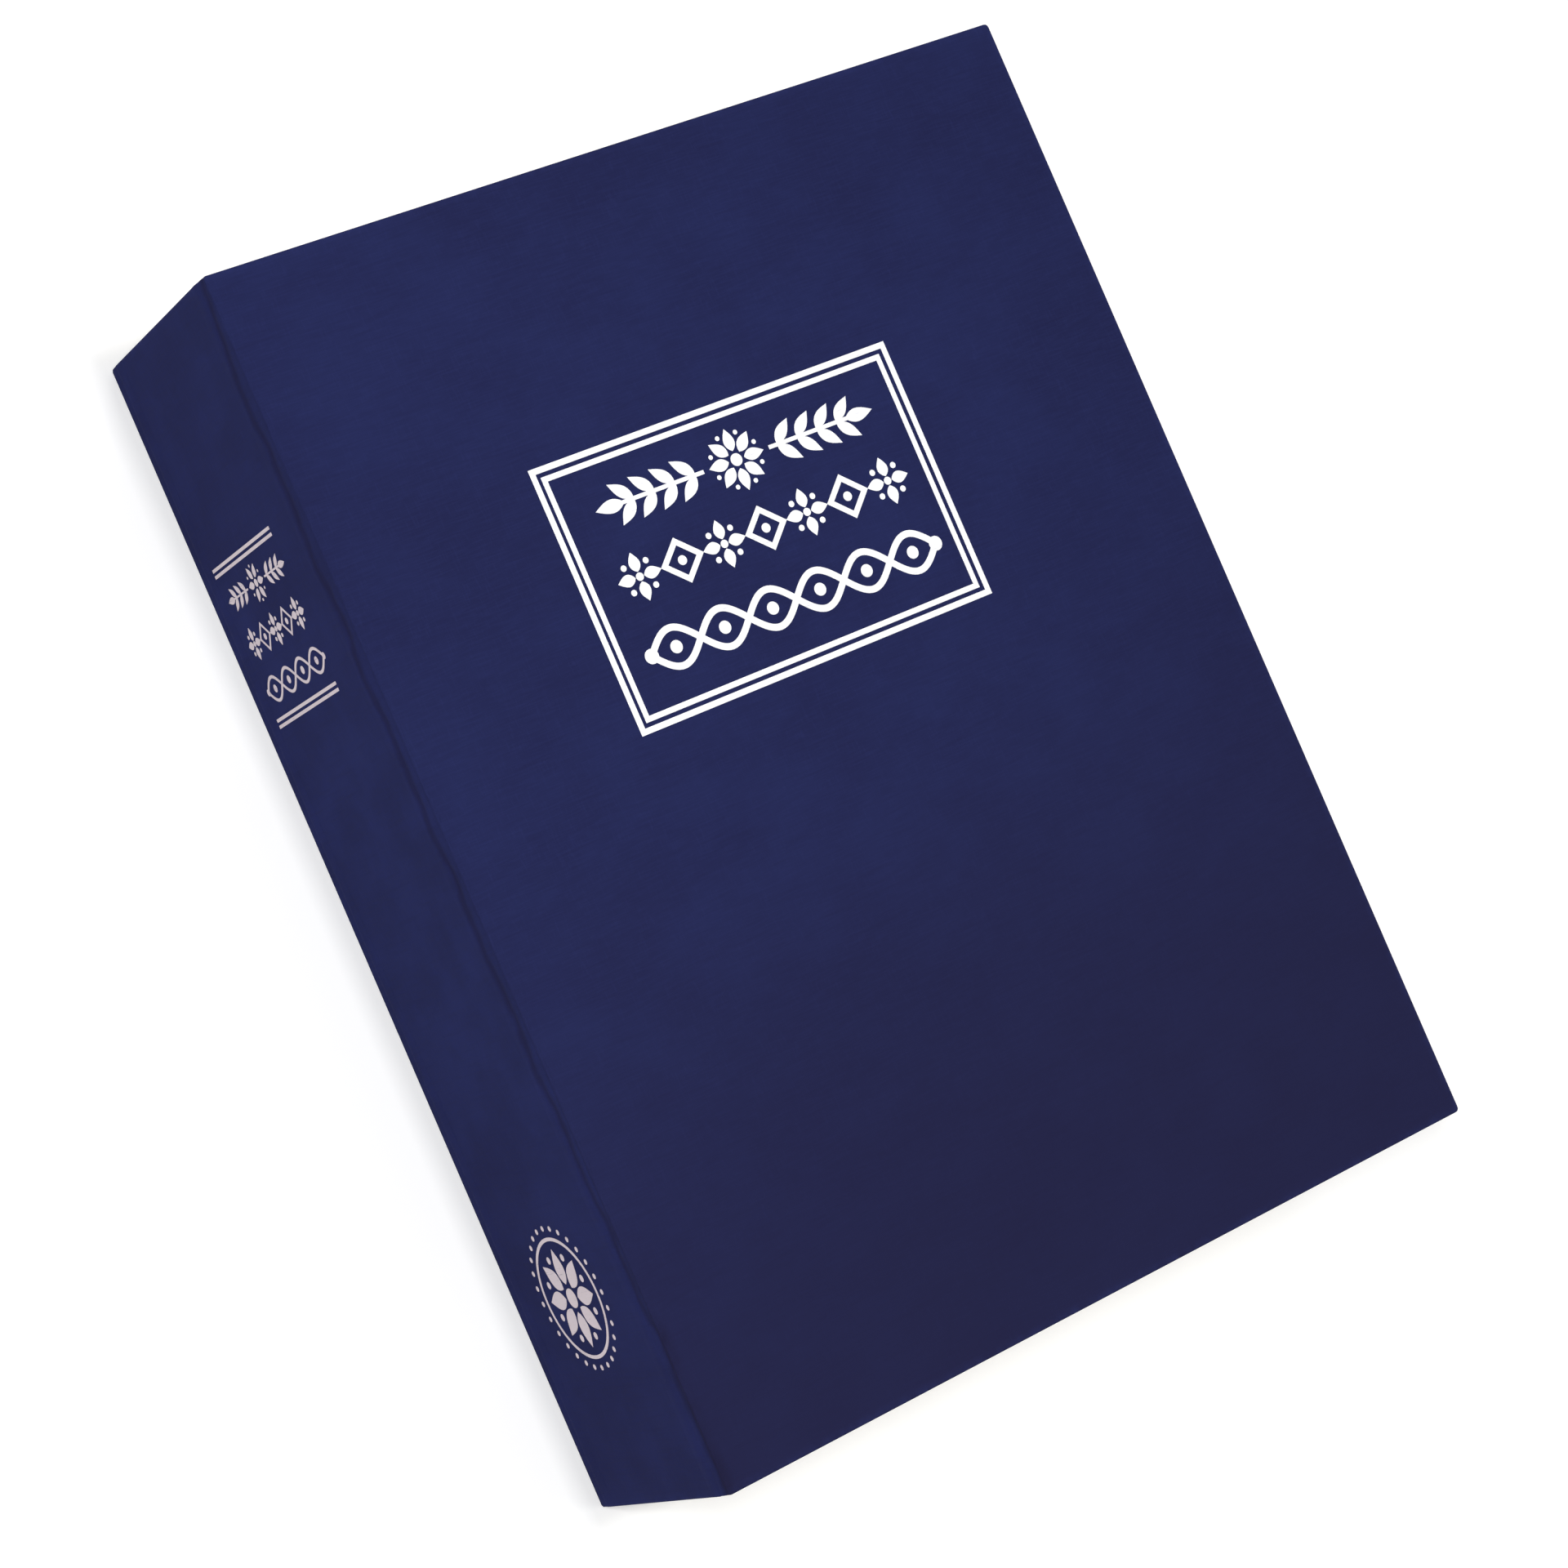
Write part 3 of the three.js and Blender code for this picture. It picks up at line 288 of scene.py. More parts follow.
@dataclass(frozen=True)
class BookCloth(Finish):
    """Matt dyed book cloth: faint threads, soft patches of dye, paler edges, painted shade in the fold
    and towards the tail.
    """

    threads: Grain = Grain.X
    dark: Colour = tone(32, 34, 68)
    middle: Colour = tone(35, 39, 78)
    bright: Colour = tone(38, 44, 87)
    worn: Colour = tone(48, 55, 106)
    # Painted shade: the colour that darkens the cloth towards the tail and the fore edge, its share and
    # its reach.
    faded: Colour = tone(35, 34, 61)
    fade: float = 0.68
    fade_start: float = -30 * MM
    fade_end: float = 125 * MM
    tail_slope: float = -0.95
    fore_slope: float = 0.12
    wear: float = 0.4
    wear_width: float = 2.2 * MM
    half_height: float = 132.5 * MM
    half_width: float = 100.0 * MM
    # Painted shade: the colour that darkens the fold beside the front cover, and its share.
    creased: Colour = tone(31, 29, 52)
    crease_shade: float = 0.5
    crease_height: float = 61.0 * MM
    crease_width: float = 1.9 * MM
    crease_wander: float = 1.1 * MM
    crease_rough: float = 0.3 * MM
    crease_wave: float = 16 * MM
    head_climb: float = 2.6 * MM
    head_climb_reach: Flat = (104 * MM, 132 * MM)
    tail_climb: float = 3.4 * MM
    tail_climb_reach: Flat = (32 * MM, 118 * MM)
    crease_side: Flat = (-99.2 * MM, -97.0 * MM)

    def build(self) -> bpy.types.Material:
        """Weave the cloth from noise drawn out along its threads, and paint shade towards the tail and
        in the fold.

        Returns:
            The material.
        """
        make = Shading(self.name)
        thread = make.noise(self.threads.size(along=5 * MM, across=0.34 * MM))
        slub = make.noise(self.threads.size(along=13 * MM, across=0.9 * MM), detail=1.0, shift=3.1)
        warp = make.noise(Grain.Y.size(along=3 * MM, across=0.3 * MM), detail=1.0, shift=7.7)
        patch = make.noise((17 * MM, 12 * MM, 15 * MM), detail=3.0, shift=1.3)
        cloud = make.noise((70 * MM, 55 * MM, 60 * MM), shift=5.2)

        dye = make.tint(self.middle, self.bright, patch, low=0.3, high=0.72, share=0.6)
        dye = make.tint(dye, self.dark, cloud, low=0.35, high=0.7, share=0.4)
        dye = make.tint(dye, self.worn, thread, low=0.35, high=0.75, share=0.16)
        dye = make.tint(dye, self.worn, warp, low=0.5, high=0.8, share=0.14)
        dye = make.mix(make.stretch(slub, low=0.2, high=0.5, to_low=0.2, to_high=0.0), dye, self.dark)

        where = make.add("ShaderNodeSeparateXYZ", {0: make.place})
        # Painted shade: the cloth darkens towards the tail and a little towards the fore edge, as the
        # light falls off there.
        towards_tail = make.maths("MULTIPLY", where.outputs["Y"], self.tail_slope)
        towards_fore = make.maths("MULTIPLY", where.outputs["X"], self.fore_slope)
        corner = make.maths("ADD", towards_tail, towards_fore)
        dye = make.tint(dye, self.faded, corner, self.fade_start, self.fade_end, self.fade)
        from_ends = make.maths("SUBTRACT", self.half_height, make.maths("ABSOLUTE", where.outputs["Y"]))
        from_fore = make.maths("SUBTRACT", self.half_width, where.outputs["X"])
        from_edge = make.maths("MINIMUM", from_ends, from_fore)
        scuff = make.noise((2.5 * MM,) * 3, detail=3.0, shift=9.4)
        near_edge = make.stretch(from_edge, 0.0, self.wear_width, to_low=self.wear, to_high=0.0)
        scuffed = make.stretch(scuff, low=0.2, high=0.9)
        dye = make.mix(make.maths("MULTIPLY", near_edge, scuffed), dye, self.worn)

        crease = self._crease(make, where)
        # Painted shade: the cloth is darkened in the fold, where shade falls.
        dye = make.mix(make.maths("MULTIPLY", crease, self.crease_shade), dye, self.creased)

        make.bump(thread, depth=0.03 * MM, strength=0.55)
        make.bump(warp, depth=0.02 * MM, strength=0.4)
        make.bump(patch, depth=0.05 * MM, strength=0.25)
        make.bump(make.maths("SUBTRACT", 1.0, crease), depth=0.3 * MM, strength=0.6)
        rough = make.stretch(thread, low=0.3, high=0.7, to_low=0.62, to_high=0.76)
        return make.wire(Base_Color=dye, Roughness=rough, Specular_IOR_Level=0.01)

    def _crease(self, make: Shading, where: bpy.types.Node) -> bpy.types.NodeSocket:
        """Draw the fold beside the front cover, which wanders and climbs onto the cover at both ends;
        it is sunk by a bump and darkened with painted shade.

        Args:
            make: The material under construction.
            where: The node that gives the place's three parts.

        Returns:
            1 in the middle of the fold and 0 away from it.
        """
        across, along, upward = (where.outputs[axis] for axis in "XYZ")
        wander = make.noise((ENDLESS, self.crease_wave, ENDLESS), shift=4.4)
        fine = make.noise((2 * MM, 4 * MM, 2 * MM), shift=8.8)
        to_head = make.stretch(along, *self.head_climb_reach, to_high=self.head_climb)
        backward = make.maths("MULTIPLY", along, -1.0)
        to_tail = make.stretch(backward, *self.tail_climb_reach, to_high=self.tail_climb)
        swing, shake = self.crease_wander, self.crease_rough
        wandering = make.stretch(wander, 0.25, 0.75, to_low=-swing, to_high=swing)
        shaking = make.stretch(fine, 0.2, 0.8, to_low=-shake, to_high=shake)
        course = make.maths("ADD", to_head, to_tail)
        for part in (wandering, shaking, self.crease_height):
            course = make.maths("ADD", course, part)
        from_course = make.maths("ABSOLUTE", make.maths("SUBTRACT", upward, course))
        fold = make.stretch(from_course, 0.0, self.crease_width, to_low=1.0, to_high=0.0)
        near_spine = make.stretch(across, *self.crease_side, to_low=1.0, to_high=0.0)
        return make.maths("MULTIPLY", fold, near_spine)


@dataclass(frozen=True)
class Fibre(Finish):
    """Pressed fibre, such as board or lining paper, with fibres and a faint cloud."""

    light: Colour = tone(236, 231, 218)
    shade: Colour = tone(233, 228, 215)
    fleck: Colour = tone(214, 207, 191)
    fleck_size: float = 0.6 * MM
    turn_in: float = 0.0
    step_half: float = 0.5 * MM
    step_height: float = 0.35 * MM
    edge_x: float = 100.0 * MM
    edge_y: float = 132.5 * MM

    def build(self) -> bpy.types.Material:
        """Lay the fibres, and show the edge of the cloth that lies under the paper.

        Returns:
            The material.
        """
        make = Shading(self.name)
        cloud = make.noise((60 * MM,) * 3)
        grain = make.noise((self.fleck_size,) * 3, shift=2.0)
        sheet = make.tint(self.light, self.shade, cloud, low=0.3, high=0.75)
        sheet = make.tint(sheet, self.fleck, grain, low=0.6, high=0.85, share=0.3)
        make.bump(grain, depth=0.015 * MM, strength=0.5)
        if self.turn_in:
            where = make.add("ShaderNodeSeparateXYZ", {0: make.place})
            from_ends = make.maths("SUBTRACT", self.edge_y, make.maths("ABSOLUTE", where.outputs["Y"]))
            from_sides = make.maths("SUBTRACT", self.edge_x, make.maths("ABSOLUTE", where.outputs["X"]))
            from_edge = make.maths("MINIMUM", from_ends, from_sides)
            outer, inner = self.turn_in - self.step_half, self.turn_in + self.step_half
            step = make.stretch(from_edge, outer, inner, to_low=1.0, to_high=0.0)
            make.bump(step, depth=self.step_height, strength=0.8)
        return make.wire(Base_Color=sheet, Roughness=0.85, Specular_IOR_Level=0.3)


@dataclass(frozen=True)
class LeafEdge(Finish):
    """Cream moulding drawn with fine lines, as the cut edges of leaves."""

    light: Colour = tone(242, 236, 220)
    shade: Colour = tone(228, 218, 194)
    line: Colour = tone(190, 175, 144)

    def build(self) -> bpy.types.Material:
        """Draw long thin lines that lie level, in tones of cream.

        Returns:
            The material.
        """
        make = Shading(self.name)
        leaf = make.noise((60 * MM, 60 * MM, 0.28 * MM))
        bundle = make.noise((140 * MM, 140 * MM, 1.6 * MM), detail=1.0, shift=4.0)
        stain = make.noise((24 * MM, 24 * MM, 9 * MM), detail=3.0, shift=6.0)
        cream = make.tint(self.light, self.shade, bundle, low=0.35, high=0.65)
        cream = make.tint(cream, self.line, leaf, low=0.56, high=0.74, share=0.75)
        cream = make.tint(cream, self.shade, stain, low=0.55, high=0.75, share=0.25)
        make.bump(leaf, depth=0.06 * MM, strength=0.6)
        return make.wire(Base_Color=cream, Roughness=0.55, Specular_IOR_Level=0.4)


@dataclass(frozen=True)
class Coating(Finish):
    """Paint, powder coat or moulded plastic: one colour with a fine surface texture."""

    colour: Colour = tone(22, 23, 25)
    lift: Colour = tone(34, 35, 38)
    texture: float = 0.45 * MM
    depth: float = 0.03 * MM
    roughness: float = 0.5

    def build(self) -> bpy.types.Material:
        """Give the coat its orange-peel texture and the dull patches of handling.

        Returns:
            The material.
        """
        make = Shading(self.name)
        peel = make.noise((self.texture,) * 3)
        handling = make.noise((14 * MM,) * 3, detail=4.0, shift=2.7)
        coat = make.tint(self.colour, self.lift, peel, low=0.45, high=0.8, share=0.7)
        coat = make.tint(coat, self.lift, handling, low=0.45, high=0.85, share=0.12)
        smooth, dull = self.roughness - 0.02, self.roughness + 0.03
        rough = make.stretch(handling, low=0.3, high=0.7, to_low=smooth, to_high=dull)
        make.bump(peel, depth=self.depth, strength=0.6)
        return make.wire(Base_Color=coat, Roughness=rough, Specular_IOR_Level=0.3)


@dataclass(frozen=True)
class Metal(Finish):
    """Bare or plated metal with a brushed or cast surface."""

    light: Colour = tone(212, 214, 216)
    shade: Colour = tone(176, 178, 182)
    brushed: Grain = Grain.Y
    stroke: float = 9.0 * MM
    width: float = 0.12 * MM
    roughness: float = 0.3
    depth: float = 0.006 * MM

    def build(self) -> bpy.types.Material:
        """Brush the metal along its grain.

        Returns:
            The material.
        """
        make = Shading(self.name)
        brush = make.noise(self.brushed.size(self.stroke, self.width))
        bloom = make.noise((7 * MM,) * 3, detail=3.0, shift=8.0)
        skin = make.tint(self.light, self.shade, brush, low=0.3, high=0.75, share=0.8)
        skin = make.tint(skin, self.shade, bloom, low=0.5, high=0.75, share=0.2)
        smooth, dull = self.roughness - 0.02, self.roughness + 0.04
        rough = make.stretch(bloom, low=0.3, high=0.7, to_low=smooth, to_high=dull)
        make.bump(brush, depth=self.depth, strength=0.5)
        return make.wire(Base_Color=skin, Roughness=rough, Metallic=1.0)


@dataclass(frozen=True)
class Foil(Finish):
    """Blocking foil pressed into the cloth: even colour, broken a little by the threads."""

    colour: Colour = tone(250, 250, 252)
    thin: Colour = tone(214, 212, 222)
    threads: Grain = Grain.X
    roughness: float = 0.45

    def build(self) -> bpy.types.Material:
        """Press the threads' pattern into the foil.

        Returns:
            The material.
        """
        make = Shading(self.name)
        thread = make.noise(self.threads.size(along=2.5 * MM, across=0.3 * MM), shift=1.9)
        thinned = make.tint(self.colour, self.thin, thread, low=0.6, high=0.85)
        make.bump(thread, depth=0.01 * MM, strength=0.5)
        return make.wire(Base_Color=thinned, Roughness=self.roughness, Specular_IOR_Level=0.6)


COVER_CLOTH = BookCloth("cover_cloth")
# The spine's cloth and the joints' cloth are lighter copies of the cover's: painted light that
# brightens the spine and its grooves.
# The spine and the joints have no fore edge that wears, so theirs is set far away.
SPINE_CLOTH = BookCloth(
    "spine_cloth", threads=Grain.Z, bright=tone(40, 46, 93), fade=0.15, half_width=1.0
)
JOINT_CLOTH = BookCloth(
    "joint_cloth", threads=Grain.Z, bright=tone(40, 46, 96), fade=0.15, half_width=1.0
)
GREY_BOARD = Fibre(
    "grey_board", tone(160, 150, 134), tone(140, 130, 114), tone(100, 92, 80), fleck_size=0.9 * MM
)
COVER_LINING = Fibre("cover_lining", turn_in=15.0 * MM)
SPINE_LINING = Fibre("spine_lining")
PAGES = LeafEdge("leaf_edges")
BLACK_COAT = Coating("black_powder_coat")
BLACK_PLASTIC = Coating(
    "black_plastic",
    tone(20, 20, 22),
    tone(34, 34, 37),
    texture=0.2 * MM,
    depth=0.01 * MM,
    roughness=0.38,
)
WHITE_PAINT = Coating(
    "white_paint", tone(240, 240, 236), tone(222, 222, 216), texture=0.15 * MM, depth=0.004 * MM
)
INDEX_PAINT = Coating(
    "index_paint", tone(18, 18, 20), tone(30, 30, 32), texture=0.15 * MM, depth=0.004 * MM
)
ZINC = Metal("zinc_plate", tone(204, 206, 208), tone(174, 177, 181), roughness=0.34)
CHROME = Metal(
    "satin_chrome",
    tone(206, 208, 212),
    tone(178, 181, 187),
    stroke=30 * MM,
    width=0.07 * MM,
    roughness=0.32,
    depth=0.003 * MM,
)
CAST = Metal(
    "cast_zinc",
    tone(186, 188, 192),
    tone(150, 152, 157),
    stroke=0.5 * MM,
    width=0.35 * MM,
    roughness=0.42,
    depth=0.02 * MM,
)
SPRING = Metal(
    "spring_steel",
    tone(190, 187, 178),
    tone(150, 147, 138),
    brushed=Grain.Z,
    stroke=6 * MM,
    width=0.1 * MM,
    roughness=0.28,
)
COVER_FOIL = Foil("cover_foil")
# The spine's foil is a darker, pinkish grey copy of the cover's: painted shade, for the shaded floor
# that the foil mirrors.
SPINE_FOIL = Foil(
    "spine_foil", tone(204, 190, 196), tone(160, 146, 160), threads=Grain.Z, roughness=0.5
)


def keep_mesh(name: str, mesh: bpy.types.Mesh) -> bpy.types.Object:
    """Make an object of a mesh, at the origin, and put it in the scene.

    Args:
        name: Name of the object.
        mesh: Its mesh.

    Returns:
        The object.
    """
    made = bpy.data.objects.new(name, mesh)
    bpy.context.scene.collection.objects.link(made)
    return made


def plain(obj: bpy.types.Object) -> bpy.types.Object:
    """Turn an object's evaluated shape into a plain mesh of its own, and drop what made it.

    Args:
        obj: A mesh with modifiers, a curve or a text.

    Returns:
        A mesh object of the same name, at the origin.
    """
    graph = bpy.context.evaluated_depsgraph_get()
    mesh = bpy.data.meshes.new_from_object(obj.evaluated_get(graph), depsgraph=graph)
    name = obj.name
    bpy.data.objects.remove(obj)
    return keep_mesh(name, mesh)


def tidy_mesh(mesh: bpy.types.Mesh, smooth_angle: float = 35.0) -> bpy.types.Mesh:
    """Close a mesh's seams, turn its faces outwards, and shade it smooth but for its hard edges.

    Args:
        mesh: The mesh to change.
        smooth_angle: Edges sharper than this stay hard, in degrees.

    Returns:
        The same mesh.
    """
    edit = bmesh.new()
    edit.from_mesh(mesh)
    bmesh.ops.remove_doubles(edit, verts=edit.verts, dist=MERGE_GAP)
    bmesh.ops.recalc_face_normals(edit, faces=edit.faces)
    edit.to_mesh(mesh)
    edit.free()
    mesh.shade_smooth()
    mesh.set_sharp_from_angle(angle=math.radians(smooth_angle))
    return mesh


def crisp_caps(mesh: bpy.types.Mesh) -> None:
    """Keep a plate's level faces flat in the shading: their rims become hard edges.

    Args:
        mesh: The plate's mesh.
    """
    edit = bmesh.new()
    edit.from_mesh(mesh)
    for edge in edit.edges:
        level = [abs(face.normal.z) > LEVEL_RISE for face in edge.link_faces]
        if len(level) == 2 and level[0] != level[1]:
            edge.smooth = False
    edit.to_mesh(mesh)
    edit.free()


def gathered(name: str, parts: Iterable[bpy.types.Object]) -> bpy.types.Object:
    """Put several plain meshes together in one object, and drop the parts.

    Args:
        name: Name of the new object.
        parts: Plain mesh objects at the origin. The first one's finish is kept.

    Returns:
        The new object.
    """
    edit = bmesh.new()
    finish = None
    for part in parts:
        edit.from_mesh(part.data)
        finish = finish or (part.data.materials[0] if part.data.materials else None)
        bpy.data.objects.remove(part)
    mesh = bpy.data.meshes.new(name)
    edit.to_mesh(mesh)
    edit.free()
    if finish:
        mesh.materials.append(finish)
    return keep_mesh(name, mesh)


def painted(obj: bpy.types.Object, finish: Finish) -> bpy.types.Object:
    """Give a plain mesh one finish all over.

    Args:
        obj: The mesh object.
        finish: The finish.

    Returns:
        The same object.
    """
    obj.data.materials.clear()
    obj.data.materials.append(finish.material)
    return obj


def hand_over(
    obj: bpy.types.Object, body: str, replaced: Sequence[str] = ()
) -> bpy.types.Object:
    """Let a finished piece ride on a body, and report it.

    Args:
        obj: The piece, in place.
        body: The body that carries it.
        replaced: The solids that it stands for.

    Returns:
        The piece.
    """
    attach(obj, body)
    if replaced:
        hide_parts(*replaced)
    log.info("%s: %d faces, rides on %s", obj.name, len(obj.data.polygons), body)
    return obj


def dress(finish: Finish, *nodes: str) -> None:
    """Give a finish to solids of the frame that keep their own shape.

    Args:
        finish: The finish.
        nodes: Names of the solids.
    """
    for name in nodes:
        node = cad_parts[name]
        if not node.material_slots:
            node.data.materials.append(finish.material)
        for place in node.material_slots:
            place.material = finish.material
        log.info("%s: %s", name, finish.name)


def middle_of(node: str) -> Vector:
    """Return the middle of a solid's box."""
    low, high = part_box(node)
    return (low + high) / 2.0


class Tree(Enum):
    """The node trees that repeat a shape or form one that follows a rule."""

    ROW = "even_row"
    RING = "even_ring"
    COIL = "wound_coil"
    LEAVES = "stacked_leaves"


class Socket(Enum):
    """The kinds of input that a node tree takes."""

    GEOMETRY = "NodeSocketGeometry"
    INT = "NodeSocketInt"
    FLOAT = "NodeSocketFloat"
    VECTOR = "NodeSocketVector"
    MATERIAL = "NodeSocketMaterial"


class Growth(Nodes):
    """A node tree for meshes, with named inputs. It ends in real geometry with its finish set."""

    def __init__(self, kind: Tree, inputs: dict[str, Socket]) -> None:
        """Start a tree.

        Args:
            kind: Which tree this is.
            inputs: The name and kind of each input but the first, which is the incoming mesh.
        """
        tree = bpy.data.node_groups.new(kind.value, "GeometryNodeTree")
        super().__init__(tree)
        named = {"Copy": Socket.GEOMETRY, **inputs, "Finish": Socket.MATERIAL}
        for name, socket in named.items():
            tree.interface.new_socket(name, in_out="INPUT", socket_type=socket.value)
        tree.interface.new_socket("Made", in_out="OUTPUT", socket_type=Socket.GEOMETRY.value)
        self.given = self.add("NodeGroupInput").outputs

    def end(self, geometry: bpy.types.NodeSocket) -> bpy.types.NodeTree:
        """Make the result real, set its finish, and close the tree.

        Args:
            geometry: What the tree has made, still as instances where it repeats.

        Returns:
            The tree.
        """
        real = self.add("GeometryNodeRealizeInstances", {"Geometry": geometry})
        inputs = {"Geometry": real.outputs[0], "Material": self.given["Finish"]}
        set_finish = self.add("GeometryNodeSetMaterial", inputs)
        self.add("NodeGroupOutput", {"Made": set_finish.outputs[0]})
        return self.tree


def row_tree() -> bpy.types.NodeTree:
    """Build the tree that sets copies of a mesh in an even row.

    Returns:
        The tree.
    """
    make = Growth(Tree.ROW, {"Count": Socket.INT, "First place": Socket.VECTOR, "Step": Socket.VECTOR})
    given = make.given
    inputs = {"Count": given["Count"], "Start Location": given["First place"], "Offset": given["Step"]}
    line = make.add("GeometryNodeMeshLine", inputs, mode="OFFSET")
    copies = make.add(
        "GeometryNodeInstanceOnPoints", {"Points": line.outputs["Mesh"], "Instance": given["Copy"]}
    )
    return make.end(copies.outputs["Instances"])


def ring_tree() -> bpy.types.NodeTree:
    """Build the tree that sets copies of a mesh round a circle, each turned to face outwards.

    Returns:
        The tree.
    """
    make = Growth(Tree.RING, {"Count": Socket.INT, "Radius": Socket.FLOAT, "First angle": Socket.FLOAT})
    index = make.add("GeometryNodeInputIndex").outputs[0]
    step = make.maths("DIVIDE", FULL_TURN, make.given["Count"])
    angle = make.maths("ADD", make.maths("MULTIPLY", index, step), make.given["First angle"])
    across = make.maths("MULTIPLY", make.maths("COSINE", angle), make.given["Radius"])
    upward = make.maths("MULTIPLY", make.maths("SINE", angle), make.given["Radius"])
    place = make.add("ShaderNodeCombineXYZ", {"X": across, "Y": upward}).outputs[0]
    points = make.add("GeometryNodePoints", {"Count": make.given["Count"], "Position": place})
    turn = make.add("ShaderNodeCombineXYZ", {"Z": angle}).outputs[0]
    copies = make.add(
        "GeometryNodeInstanceOnPoints",
        {"Points": points.outputs[0], "Instance": make.given["Copy"], "Rotation": turn},
    )
    return make.end(copies.outputs["Instances"])


def coil_tree() -> bpy.types.NodeTree:
    """Build the tree that winds a wire into a spring whose ends lie flat.

    The incoming mesh is the wire's section.

    Returns:
        The tree.
    """
    kinds = {"Turns": Socket.FLOAT, "Steps": Socket.INT}
    kinds |= dict.fromkeys(("Radius", "Height"), Socket.FLOAT)
    make = Growth(Tree.COIL, kinds)
    given = make.given
    even = make.add(
        "GeometryNodeCurveSpiral",
        {
            "Resolution": given["Steps"],
            "Rotations": given["Turns"],
            "Start Radius": given["Radius"],
            "End Radius": given["Radius"],
            "Height": given["Height"],
        },
    )
    here = make.add("GeometryNodeInputPosition").outputs[0]
    place = make.add("ShaderNodeSeparateXYZ", {0: here}).outputs
    level = make.add(
        "ShaderNodeMapRange",
        {"Value": place["Z"], "From Max": given["Height"], "To Max": given["Height"]},
        interpolation_type="SMOOTHSTEP",
    ).outputs["Result"]
    wound = make.add("ShaderNodeCombineXYZ", {"X": place["X"], "Y": place["Y"], "Z": level}).outputs[0]
    centre = make.add("GeometryNodeSetPosition", {"Geometry": even.outputs[0], "Position": wound})
    section = make.add("GeometryNodeMeshToCurve", {"Mesh": given["Copy"]})
    wire = make.add(
        "GeometryNodeCurveToMesh",
        {"Curve": centre.outputs[0], "Profile Curve": section.outputs[0], "Fill Caps": True},
    )
    return make.end(wire.outputs[0])


